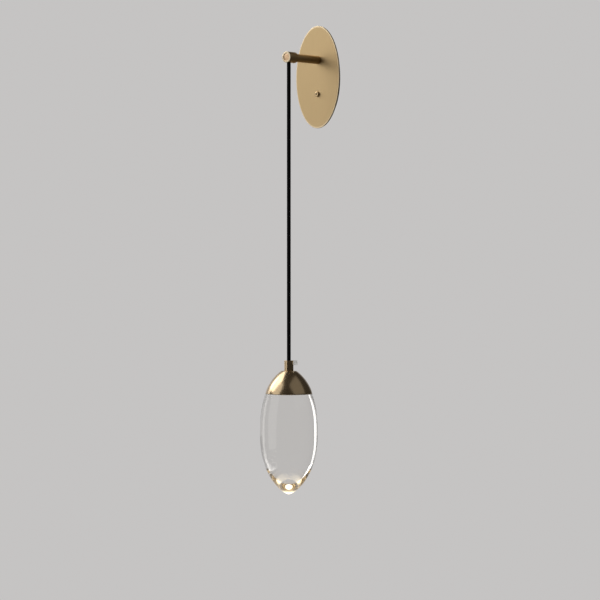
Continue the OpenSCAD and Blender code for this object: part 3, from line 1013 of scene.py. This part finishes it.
@dataclass(frozen=True)
class Room:
    """What a ray sees round the lamp: a pale backdrop, or the dark on the camera's side.

    Attributes:
        pale: Colour of the backdrop.
        dark: Colour of the dark side.
        behind: Direction away from the camera.
        lit_side: Direction in which metal mirrors the backdrop.
        lit_gain: How fast that share grows towards this direction.
        lit_loss: How much is taken off it.
        through_glass: Share of the backdrop that glass shows everywhere.
    """

    pale: Colour = rgb(0.56, 0.55, 0.545)
    dark: Colour = rgb(0.044, 0.040, 0.035)
    behind: Point = (-0.64, 0.77, 0.0)
    lit_side: Point = (-0.82, 0.57, 0.0)
    lit_gain: float = 3.0
    lit_loss: float = 1.9
    through_glass: float = 0.4

    def seen(self, nodes: Nodes, gain: float, loss: float) -> tuple[Socket, Signal]:
        """Writes what a ray sees.

        Args:
            nodes: The nodes of the world or the floor.
            gain: How fast the backdrop's share grows away from the camera.
            loss: How much is taken off it.

        Returns:
            The colour, and one for rays that show it as it is.
        """
        path = nodes.add("ShaderNodeLightPath")
        straight = nodes.signal(path, "Is Camera Ray")
        through = nodes.signal(path, "Is Transmission Ray")
        off_metal = nodes.signal(path, "Is Glossy Ray") * (1.0 - through)
        heading = nodes.vector("NORMALIZE", nodes.place).outputs[0]
        behind = (nodes.along(self.behind) * gain - loss).unit()
        lit = nodes.along(self.lit_side, heading) * self.lit_gain - self.lit_loss
        lighting = behind * (1.0 - off_metal) + lit.unit() * off_metal
        share = (straight + lighting + through * self.through_glass).unit()
        shown = (straight + off_metal + through).unit()
        return nodes.tint(share, self.dark, self.pale), shown


@dataclass(frozen=True)
class Panel:
    """A soft light panel that faces the lamp.

    Attributes:
        name: The light's name.
        azimuth: Its direction round the lamp, in degrees; zero is straight out along -Y.
        elevation: Its height, in degrees.
        distance: Its distance, in metres.
        size: Its width and height, in metres.
        watts: Its power.
        colour: Its colour.
        target: The point that it faces, in metres.
    """

    name: str
    azimuth: float
    elevation: float
    distance: float
    size: Spot
    watts: float
    colour: Point = (1.0, 0.98, 0.95)
    target: Point = (0.0, -0.05, -0.27)

    def build(self) -> None:
        """Places the panel."""
        a, e = math.radians(self.azimuth), math.radians(self.elevation)
        way = Vector((math.sin(a) * math.cos(e), -math.cos(a) * math.cos(e), math.sin(e)))
        deselect()
        bpy.ops.object.light_add(type="AREA", location=Vector(self.target) + way * self.distance)
        lamp = named(self.name)
        lamp.rotation_euler = way.to_track_quat("Z", "Y").to_euler()
        lamp.data.shape = "RECTANGLE"
        lamp.data.size, lamp.data.size_y = self.size
        lamp.data.energy = self.watts
        lamp.data.color = self.colour


@dataclass
class Studio:
    """The camera at the photograph's angle, soft light, and a pale floor.

    Attributes:
        camera_at: The camera's place, in metres.
        camera_turn: Its turn round the vertical, in degrees.
        camera_dip: How far it looks down, in degrees.
        lens: Focal length for a sensor 36 mm wide.
        floor_z: Height of the floor, in metres.
        floor_size: Width of the floor, in metres.
        floor_low: Its darker paint.
        floor_high: Its lighter paint.
        fade_from: Distance from the lamp at which the floor begins to fade, in metres.
        fade: Share of the fading done in each metre from there.
        faded: Share of the backdrop's colour that the floor shows before it fades.
        room: What is seen round the lamp.
        panels: A tall narrow window on the left, a soft light high above it and two weak ones.
    """

    camera_at: Point = (2.0377, -2.4923, -0.241)
    camera_turn: float = 39.984
    camera_dip: float = 1.55
    lens: float = 130.4
    floor_z: float = -1.45
    floor_size: float = 30.0
    floor_low: Colour = rgb(0.62, 0.61, 0.60)
    floor_high: Colour = rgb(0.66, 0.65, 0.64)
    fade_from: float = 0.3
    fade: float = 0.55
    faded: float = 0.6
    room: Room = Room()
    panels: tuple[Panel, ...] = (
        Panel("window_panel", -79.0, 0.0, 1.6, (0.45, 3.0), 5.4),
        Panel("high_panel", -71.0, 42.0, 2.8, (2.2, 2.6), 40.0),
        Panel("front_panel", -30.0, 16.0, 2.9, (2.2, 4.8), 26.5),
        Panel("right_panel", 98.0, 40.0, 2.8, (3.4, 3.0), 5.5),
    )

    def build(self) -> None:
        """Makes the camera, the lights, the world and the floor."""
        self._camera()
        for panel in self.panels:
            panel.build()
        self._world()
        self._floor()
        bpy.context.scene.view_settings.view_transform = "Standard"
        log.info("studio ready")

    def _camera(self) -> None:
        """Places the camera where the photograph was taken from."""
        turn = (math.radians(90.0 - self.camera_dip), 0.0, math.radians(self.camera_turn))
        deselect()
        bpy.ops.object.camera_add(location=self.camera_at, rotation=turn)
        camera = named("photo_camera")
        camera.data.sensor_width = 36.0
        camera.data.lens = self.lens
        camera.data.clip_end = 60.0
        bpy.context.scene.camera = camera

    def _world(self) -> None:
        """Writes a pale world whose reflections are darker on the camera's side, like a room."""
        world = bpy.data.worlds.new("studio_world")
        bpy.context.scene.world = world
        world.use_nodes = True
        nodes = Nodes(world.node_tree, "Generated")
        colour, _ = self.room.seen(nodes, gain=1.6, loss=0.35)
        backdrop = nodes.add("ShaderNodeBackground", None, {"Color": colour})
        nodes.add("ShaderNodeOutputWorld", None, {"Surface": backdrop.outputs[0]})

    def _floor(self) -> None:
        """Lays the pale floor, which fades into the backdrop far from the lamp."""
        deselect()
        bpy.ops.mesh.primitive_plane_add(size=self.floor_size, location=(0.0, 0.0, self.floor_z))
        floor = named("pale_floor")
        recipe = Recipe("pale_floor_paint")
        tone = recipe.tint(recipe.noise(3.0, detail=3.0), self.floor_low, self.floor_high)
        paint = recipe.add("ShaderNodeBsdfDiffuse", None, {"Color": tone}).outputs[0]
        colour, shown = self.room.seen(recipe, gain=1.2, loss=0.0)
        glow = recipe.add("ShaderNodeEmission", None, {"Color": colour}).outputs[0]
        far = ((recipe.away() - self.fade_from) * self.fade).unit()
        share = shown * (far * (1.0 - self.faded) + self.faded)
        mixed = recipe.add("ShaderNodeMixShader", None, {0: share, 1: paint, 2: glow})
        recipe.add("ShaderNodeOutputMaterial", None, {"Surface": mixed.outputs[0]})
        floor.data.materials.append(recipe.material)


# Plate, arm, screw and box


@dataclass
class WallPlate:
    """The oval plate, with its bevelled rim and its two holes."""

    width: float = 82.0
    height: float = 150.0
    back: float = 20.0
    thickness: float = 2.5
    edge: float = 0.6
    rim_faces: int = 160

    def build(self, finish: BrushedMetal) -> None:
        """Extrudes an oval, bevels its rim and cuts its holes."""
        plate = oval("oval_plate", self.rim_faces, self.width, self.height, self.back, full=True)
        edit(plate)
        extrude((0.0, -self.thickness, 0.0))
        tidy_shell(plate)
        bevelled(plate, self.edge, segments=3)
        cut_fixing_holes(plate, self.back + self.thickness / 2)
        tidy_shell(plate, angle=20.0)
        hand_over(plate, finish.material(), ["wall_plate"], Body.WALL)


@dataclass
class Arm:
    """The arm: a tube with a threaded root, and the head that the cord hangs from.

    The step round the disc in the head's face is a row of points, each with how far out of the
    disc and how deep it lies.
    """

    root_tip: float = 9.5
    shoulder: float = 22.5
    tube_end: float = 82.5
    tube_r: float = 6.0
    tube_edge: float = 0.3
    bore_r: float = 3.25
    root_r: float = 5.0
    root_edge: float = 0.2
    thread_deep: float = 0.35
    thread_start: float = 0.4
    undercut: float = 0.9
    pitch: float = 1.0
    turns: int = 12
    head_r: float = 8.0
    head_back: float = 75.5
    head_face: float = 93.5
    head_edge: float = 0.7
    flat: float = 0.3
    play: float = 0.05
    hollow_r: float = 5.5
    hollow_end: float = 91.7
    disc_r: float = 4.9
    disc_deep: float = 0.6
    disc_crown: float = 0.55
    disc_step: tuple[Spot, ...] = ((0.3, 0.6), (0.45, 0.1), (0.6, 0.0))
    exit_r: float = 3.2
    exit_sides: int = 48
    exit_len: float = 5.0
    exit_mid: float = 1.2
    mouth: float = 0.7
    spare: float = 0.6

    def build(self, finish: BrushedMetal) -> None:
        """Turns the tube and the head."""
        metal = finish.material()
        hand_over(self._tube(), metal, ["arm_tube"], Body.WALL)
        hand_over(self._head(), metal, ["arm_head"], Body.WALL)

    def _tube(self) -> Piece:
        """Turns the tube with its threaded root."""
        r, edge, start, foot = self.tube_r, self.tube_edge, self.root_tip, self.shoulder
        root = self.root_r - self.thread_deep
        profile: Profile = [(self.bore_r, start), (root - self.root_edge, start)]
        thread = start + self.thread_start
        profile += ridges(thread, self.pitch, self.turns, root, self.root_r)
        profile += [(root, foot - self.undercut), (root, foot)]
        profile += [(r - edge, foot), (r, foot + edge)]
        profile += [(r, self.tube_end - edge), (r - edge, self.tube_end)]
        profile += [(self.bore_r, self.tube_end), profile[0]]
        return turned("arm_tube_brass", profile, (0.0, 0.0, ARM_Z), Axis.OUTWARD, steps=72)

    def _disc(self, steps: int = 8) -> Profile:
        """Draws the crowned disc in the head's face, from its middle, and the step round it."""
        r, face, deep = self.disc_r, self.head_face, self.disc_deep
        shares = [i / steps for i in range(steps + 1)]
        sunk = [1.0 - self.disc_crown + self.disc_crown * t**2 for t in shares]
        crown = [(r * t, face - deep * s) for t, s in zip(shares, sunk)]
        return crown + [(r + out, face - low) for out, low in self.disc_step]

    def _head(self) -> Piece:
        """Turns the head and cuts the cord's mouth in its underside."""
        r, face, back, edge = self.head_r, self.head_face, self.head_back, self.head_edge
        way = self.tube_r + self.play
        profile = self._disc() + [(r - edge - self.flat, face)]
        profile += corner((r, face), (0.0, face), (r, back), edge)
        profile += corner((r, back), (r, face), (self.tube_r, back), edge)
        profile += [(way, back), (way, self.tube_end), (self.hollow_r, self.tube_end)]
        profile += [(self.hollow_r, self.hollow_end), (0.0, self.hollow_end)]
        head = turned("arm_head_brass", profile, (0.0, 0.0, ARM_Z), Axis.OUTWARD)
        under, reach = ARM_Z - r, self.mouth + self.spare
        exit_at = (0.0, -CORD_OUT, under + self.exit_mid)
        mouth_at = (0.0, -CORD_OUT, under + (self.mouth - self.spare) / 2)
        cut(
            head,
            cutter(self.exit_sides, self.exit_r, self.exit_len, exit_at),
            cutter(self.exit_sides, self.exit_r + reach, reach, mouth_at, top=self.exit_r),
        )
        tidy_shell(head)
        return head


@dataclass
class PlateScrew:
    """The proud button-head screw under the arm, with a hexagon socket."""

    seat: float = 22.5
    head_r: float = 3.9
    head_h: float = 3.0
    rounding: float = 1.2
    flat: float = 0.2
    under_edge: float = 0.25
    shank_r: float = 2.0
    shank_len: float = 9.0
    shank_step: float = 0.2
    plain: float = 1.0
    tip_edge: float = 0.4
    thread_deep: float = 0.3
    pitch: float = 0.7
    turns: int = 10
    socket_af: float = 2.5
    socket_deep: float = 1.7
    spare: float = 1.0

    def build(self, finish: BrushedMetal) -> None:
        """Turns the screw and cuts its socket."""
        r, crest, seat = self.head_r, self.shank_r, self.seat
        top, tip, root = seat + self.head_h, seat - self.shank_len, crest - self.thread_deep
        edge, end = self.under_edge, self.tip_edge
        profile: Profile = [(0.0, top), (r - self.rounding - self.flat, top)]
        profile += corner((r, top), (0.0, top), (r, seat), self.rounding, n=8)
        profile += [(r, seat + edge), (r - edge, seat), (crest - self.shank_step, seat)]
        profile += ridges(seat - self.plain, -self.pitch, self.turns, crest, root)
        profile += [(root, tip + end), (root - end, tip), (0.0, tip)]
        place = (0.0, 0.0, SCREW_Z)
        screw = turned("button_head_screw", profile, place, Axis.OUTWARD, steps=64)
        reach = self.socket_deep + self.spare
        socket_at = (0.0, -(top - self.socket_deep + reach / 2), SCREW_Z)
        cut(screw, cutter(6, self.socket_af / math.sqrt(3.0), reach, socket_at, FORWARD))
        tidy_shell(screw)
        hand_over(screw, finish.material(), ["plate_screw"], Body.WALL)


@dataclass
class WallBox:
    """The black box behind the plate and all that it covers."""

    width: float = 50.0
    height: float = 116.0
    depth: float = 20.0
    wall: float = 1.2
    edge: float = 0.35
    sides: int = 120
    leads_x: float = 15.0

    def build(self, finishes: Finishes) -> None:
        """Makes the box and dresses the parts inside it."""
        hand_over(self._box(), finishes.coat.material(), ["back_box"], Body.WALL)
        steel = finishes.steel.material()
        dress(["wall_strap", "root_washer", "root_nut", "terminal_screws", "earth_washer"], steel)
        dress(["terminal_inserts", "earth_screw"], finishes.contact.material())
        dress(["cable_grommet"], finishes.rubber.material())
        dress(["terminal_block", "driver_case", "driver_cover"], finishes.nylon.material())
        dress(["driver_board"], finishes.board.material())
        dress(["mains_leads"], TwoCores("mains_sheaths", self.leads_x).material())
        dress(["cord_cores"], TwoCores("cord_sheaths").material())
        dress(["cord_ferrule"], steel)

    def _box(self) -> Piece:
        """Extrudes the oval shell, opens its back and cuts the front's holes."""
        box = oval("black_wall_box", self.sides, self.width, self.height, 0.0, full=False)
        width, height = self.width - 2 * self.wall, self.height - 2 * self.wall
        inner = (width / self.width, 1.0, height / self.height)
        edit(box)
        extrude((0.0, -self.depth, 0.0))
        bpy.ops.mesh.edge_face_add()
        bpy.ops.object.mode_set(mode="OBJECT")
        edit(box, chosen=[v.index for v in box.data.vertices if abs(v.co.y) < SAME_PLACE])
        extrude((0.0, 0.0, 0.0))
        bpy.ops.transform.resize(value=inner, center_override=(0.0, 0.0, 0.0))
        extrude((0.0, self.wall - self.depth, 0.0))
        bpy.ops.mesh.edge_face_add()
        tidy_shell(box)
        bevelled(box, self.edge, segments=2, angle=50.0)
        cut_fixing_holes(box, self.depth - self.wall / 2)
        tidy_shell(box, angle=28.0)
        return box


# The cord


@dataclass
class Cord:
    """The textile cord, from inside the head down into the neck.

    It bends where two hinges cross just under the head; a short exit piece and a long piece meet at
    the pivot.
    """

    radius: float = 2.8
    top: float = 23.7
    pivot: float = 15.0
    turn_room: float = 4.0
    end: float = -441.0
    bend_step: float = 0.5
    drop_rings: int = 44
    sides: int = 28

    def build(self, finish: Textile) -> None:
        """Makes both pieces, which meet at the pivot."""
        cloth = finish.material()
        low = self.pivot - 2 * self.turn_room
        first, second = self._at(self.pivot + self.turn_room), self._at(self.pivot - self.turn_room)
        upper = self._tube("cord_exit", self._bend(self.top, self.pivot))
        hand_over(upper, cloth, ["cord_in_head", "cord_bend"], None)
        self._at(self.pivot)
        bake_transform(upper)
        levels = self._bend(self.pivot, low) + self._levels(low, self.end, self.drop_rings)[1:]
        lower = self._tube("hanging_cord", levels)
        hand_over(lower, cloth, ["cord_drop"], None)
        self._at(self.pivot)
        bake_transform(lower)
        self._at(self.pivot)
        [self._at(z) for z in levels]

    def _at(self, z: float) -> Point:
        """A point on the cord's axis, in metres."""
        return (0.0, -CORD_OUT * MM, z * MM)

    @staticmethod
    def _levels(start: float, stop: float, count: int) -> list[float]:
        """Heights from start down to stop, in equal steps."""
        return [start + (stop - start) * i / count for i in range(count + 1)]

    def _bend(self, start: float, stop: float) -> list[float]:
        """Heights that lie close together, where the cord bends."""
        return self._levels(start, stop, round((start - stop) / self.bend_step))

    def _tube(self, name: str, levels: list[float]) -> Piece:
        """Extrudes a disc down through the levels and lays its map."""
        deselect()
        bpy.ops.mesh.primitive_circle_add(
            vertices=self.sides,
            radius=self.radius * MM,
            fill_type="NGON",
            location=self._at(levels[0]),
        )
        tube = named(name)
        settle(tube)
        edit(tube)
        for before, after in zip(levels, levels[1:]):
            extrude((0.0, 0.0, after - before))
        tidy_shell(tube, angle=50.0)
        self._lay_map(tube)
        return tube

    def _lay_map(self, tube: Piece) -> None:
        """Lays the map: u is the share of a turn and v the height in metres."""
        layer = tube.data.uv_layers.new(name=CORD_MAP)
        middle = Vector(self._at(0.0))
        for face in tube.data.polygons:
            offset = face.center - middle
            ahead = math.atan2(offset.y, offset.x) / FULL_TURN
            for loop in face.loop_indices:
                co = tube.data.vertices[tube.data.loops[loop].vertex_index].co - middle
                turn = math.atan2(co.y, co.x) / FULL_TURN
                turn += round(ahead - turn)
                layer.data[loop].uv = (turn, co.z)


# The pendant


@dataclass(frozen=True)
class Outline:
    """The egg outline that the cap and the crystal share, in millimetres."""

    radius: float = 42.0
    up: float = 94.2
    down: float = 90.6
    widest: float = -518.2
    rim: float = -461.6
    cap_top: float = -429.0
    centre: Point = (0.0, -CORD_OUT, 0.0)
    tip_flat: float = 0.004
    power: float = 2.4
    fullness_above: float = 0.65
    fullness_below: float = 0.7

    @property
    def tip(self) -> float:
        """Height of the crystal's tip."""
        return self.widest - self.down * (1 - self.tip_flat)

    def radius_at(self, z: float) -> float:
        """The outline's radius at a height."""
        rise = z - self.widest
        if rise > 0:
            return self.radius * (1 - (rise / self.up) ** self.power) ** self.fullness_above
        return self.radius * (1 - (-rise / self.down) ** self.power) ** self.fullness_below

    def side(self, start: float, stop: float, n: int, inset: float = 0.0) -> Profile:
        """Points on the outline, closer together towards the second height."""
        heights = [start + (stop - start) * math.sin(math.pi / 2 * i / n) for i in range(n + 1)]
        return [(self.radius_at(z) - inset, z) for z in heights]


@dataclass
class Neck:
    """The neck that grips the cord, and its clear thumb screw."""

    outline: Outline
    radius: float = 6.75
    top: float = -414.0
    bore: float = 3.1
    bore_edge: float = 0.4
    edge: float = 0.5
    flat: float = 0.2
    undercut: float = 0.8
    plain: float = 1.0
    nipple_r: float = 5.0
    nipple_tip: float = -443.6
    tip_edge: float = 0.5
    thread_deep: float = 0.4
    pitch: float = 1.0
    turns: int = 13
    grip_z: float = -417.4
    grip_turn: float = 40.0
    grip_r: float = 3.3
    grip_len: float = 5.4
    grip_gap: float = 0.2
    grip_start: float = 3.0
    grip_edge: float = 0.12
    screw_r: float = 2.0
    screw_play: float = 0.1
    hole_len: float = 10.125
    hole_sides: int = 40
    slot: float = 1.0
    slot_deep: float = 1.2
    slot_past: float = 1.2
    flutes: int = 14
    flute_margin: float = 0.1
    flute_deep: float = 0.25
    root_within: float = 0.1

    def build(self, finishes: Finishes) -> None:
        """Turns the neck and models the thumb screw."""
        clear, brass = finishes.clear.material(), finishes.cap.material()
        hand_over(self._thumb_screw(), clear, ["grip_screw"], Body.PENDANT)
        hand_over(self._neck(), brass, ["cord_grip"], Body.PENDANT)

    def _neck(self) -> Piece:
        """Turns the neck with its threaded nipple and cuts the thumb screw's hole."""
        r, edge, top, crest = self.radius, self.edge, self.top, self.nipple_r
        foot, tip, root = self.outline.cap_top, self.nipple_tip, crest - self.thread_deep
        mouth = self.bore_edge
        profile: Profile = [(self.bore, top - mouth), (self.bore + mouth, top)]
        profile += [(r - edge - self.flat, top)]
        profile += corner((r, top), (self.bore, top), (r, foot), edge)
        profile += corner((r, foot), (r, top), (crest, foot), edge)
        profile += [(root, foot), (root, foot - self.undercut)]
        profile += ridges(foot - self.plain, -self.pitch, self.turns, crest, root)
        profile += [(crest, tip + self.tip_edge), (root, tip), (self.bore, tip), profile[0]]
        neck = turned("neck_brass", profile, self.outline.centre, Axis.UPWARD)
        way, middle = math.radians(self.grip_turn), self.hole_len / 2
        hole_at = (middle * math.cos(way), middle * math.sin(way) - CORD_OUT, self.grip_z)
        hole_r, turn = self.screw_r + self.screw_play, (0.0, 90.0, self.grip_turn)
        cut(neck, cutter(self.hole_sides, hole_r, self.hole_len, hole_at, turn))
        tidy_shell(neck)
        return neck

    def _thumb_screw(self) -> Piece:
        """Models the fluted, slotted head on its thread, along X, then turns it into place."""
        start = self.radius + self.grip_gap
        deselect()
        bpy.ops.mesh.primitive_cylinder_add(
            vertices=2 * self.flutes,
            radius=self.grip_r * MM,
            depth=self.grip_len * MM,
            location=((start + self.grip_len / 2) * MM, 0.0, 0.0),
            rotation=(0.0, math.radians(90.0), 0.0),
        )
        screw = named("thumb_screw")
        settle(screw)
        sides = [p for p in screw.data.polygons if abs(p.normal.x) < ACROSS]
        sides.sort(key=lambda p: math.atan2(p.center.z, p.center.y))
        edit(screw, Part.FACES, [p.index for p in sides[::2]])
        margin, deep = self.flute_margin * MM, self.flute_deep * MM
        bpy.ops.mesh.inset(thickness=margin, depth=-deep, use_individual=True)
        take(screw)
        flat = [p for p in screw.data.polygons if p.normal.x < -ALONG]
        root = [p.index for p in flat if p.center.x < (start + self.root_within) * MM]
        edit(screw, Part.FACES, root)
        bpy.ops.mesh.inset(thickness=(self.grip_r - self.screw_r) * MM)
        extrude((self.grip_start - start, 0.0, 0.0))
        tidy_shell(screw, angle=30.0)
        bevelled(screw, self.grip_edge, segments=2, angle=60.0)
        deselect()
        end = (start + self.grip_len) * MM
        bpy.ops.mesh.primitive_cube_add(size=1.0, location=(end, 0.0, 0.0))
        blade = bpy.context.object
        tall = 2 * self.slot_past * self.grip_r
        blade.scale = Vector((2 * self.slot_deep, self.slot, tall)) * MM
        settle(blade)
        cut(screw, blade)
        place = Matrix.Translation(Vector((0.0, -CORD_OUT, self.grip_z)) * MM)
        screw.data.transform(place @ Matrix.Rotation(math.radians(self.grip_turn), 4, "Z"))
        tidy_shell(screw, angle=30.0)
        return screw


@dataclass
class Cap:
    """The turned dome over the crystal's top, with its nut and clear gasket.

    Its side swells out of the shared outline by the swell at most, and by less at its rim; the
    two eases are the powers by which it comes to an end at the top and the rim.
    """

    outline: Outline
    wall: float = 1.6
    land_r: float = 28.07
    land_h: float = 7.0
    hole_r: float = 5.1
    rim_edge: float = 0.3
    top_edge: float = 1.3
    swell: float = 1.35
    swell_lost: float = 0.65
    top_ease: int = 3
    rim_ease: int = 8

    def build(self, finishes: Finishes) -> None:
        """Turns the dome and dresses the parts that hold it."""
        brass = finishes.cap.material()
        hand_over(self._dome(), brass, ["cap_dome"], Body.PENDANT)
        dress(["crystal_collar"], brass)
        dress(["cap_nut"], finishes.steel.material())
        dress(["rim_gasket"], finishes.gasket.material())

    def _fuller(self, side: Profile) -> Profile:
        """Moves a stretch of the outline outwards: most in its middle, not at the dome's top."""
        rim, top = self.outline.rim, self.outline.cap_top
        fuller = []
        for r, z in side:
            t = (z - rim) / (top - rim)
            lost = self.swell_lost * (1 - t) ** self.rim_ease
            fuller.append((r + self.swell * (1 - t**self.top_ease) * (1 - lost), z))
        return fuller

    def _dome(self) -> Piece:
        """Turns the dome's outside, inside and threaded land."""
        o, hole, land = self.outline, self.hole_r, self.land_r
        rim, top = o.rim, o.cap_top
        under, seat = top - self.wall, rim + self.land_h
        (r_rim, _), (r_top, _) = self._fuller([(o.radius_at(z), z) for z in (rim, top)])
        low, high = rim + self.rim_edge, top - self.top_edge
        outside = [p for p in self._fuller(o.side(rim, top, n=56)) if low < p[1] < high]
        inside = self._fuller(o.side(seat, under, n=30, inset=self.wall))
        profile = corner((r_rim, rim), (land, rim), outside[0], self.rim_edge)
        profile += outside
        profile += corner((r_top, top), outside[-1], (hole, top), self.top_edge, n=6)
        profile += [(hole, top), (hole, under)] + inside[::-1]
        profile += [(land, seat), (land, rim), profile[0]]
        return turned("brass_dome", profile, o.centre, Axis.UPWARD, steps=160)


@dataclass
class Crystal:
    """The solid crystal drop, with the spigot that its collar is cemented on."""

    outline: Outline
    shoulder: float = -462.2
    spigot_r: float = 25.17
    spigot_top: float = -455.6
    spigot_edge: float = 0.4
    proud: float = 0.5
    edge: float = 0.5
    side_from: float = 0.9

    def build(self, finish: CastGlass) -> None:
        """Turns the drop."""
        o, r, top, base = self.outline, self.spigot_r, self.spigot_top, self.shoulder
        side = [p for p in o.side(base, o.widest, n=44) if p[1] < base - self.side_from]
        rim = (o.radius_at(base) + self.proud, base)
        profile: Profile = [(0.0, top)]
        profile += corner((r, top), (0.0, top), (r, base), self.spigot_edge)
        profile += [(r, base)] + corner(rim, (r, base), side[0], self.edge) + side
        profile += o.side(o.widest, o.tip, n=72)[1:] + [(0.0, o.tip)]
        drop = turned("crystal_drop", profile, o.centre, Axis.UPWARD, steps=192)
        hand_over(drop, finish.material(), ["crystal"], Body.PENDANT)


@dataclass
class LightSource:
    """The heat sink, the board and the lit disc above the crystal."""

    emitter_z: float = -452.2

    def build(self, finishes: Finishes) -> None:
        """Dresses the light source's parts."""
        dress(["heat_sink", "reflector"], finishes.sink.material())
        dress(["led_screws"], finishes.steel.material())
        dress(["led_board"], finishes.white_board.material())
        lit = Phosphor((0.0, -CORD_OUT * MM, self.emitter_z * MM))
        dress(["led_emitter"], lit.material())
        dress(["led_leads"], TwoCores("led_sheaths").material())


def main() -> None:
    logging.basicConfig(level=logging.INFO, format="%(message)s")
    finishes = Finishes()
    outline = Outline()
    Studio().build()
    Cord().build(finishes.textile)
    WallPlate().build(finishes.plate)
    Arm().build(finishes.arm)
    PlateScrew().build(finishes.screw)
    WallBox().build(finishes)
    Neck(outline).build(finishes)
    Cap(outline).build(finishes)
    Crystal(outline).build(finishes.glass)
    LightSource().build(finishes)


if __name__ == "__main__":
    main()
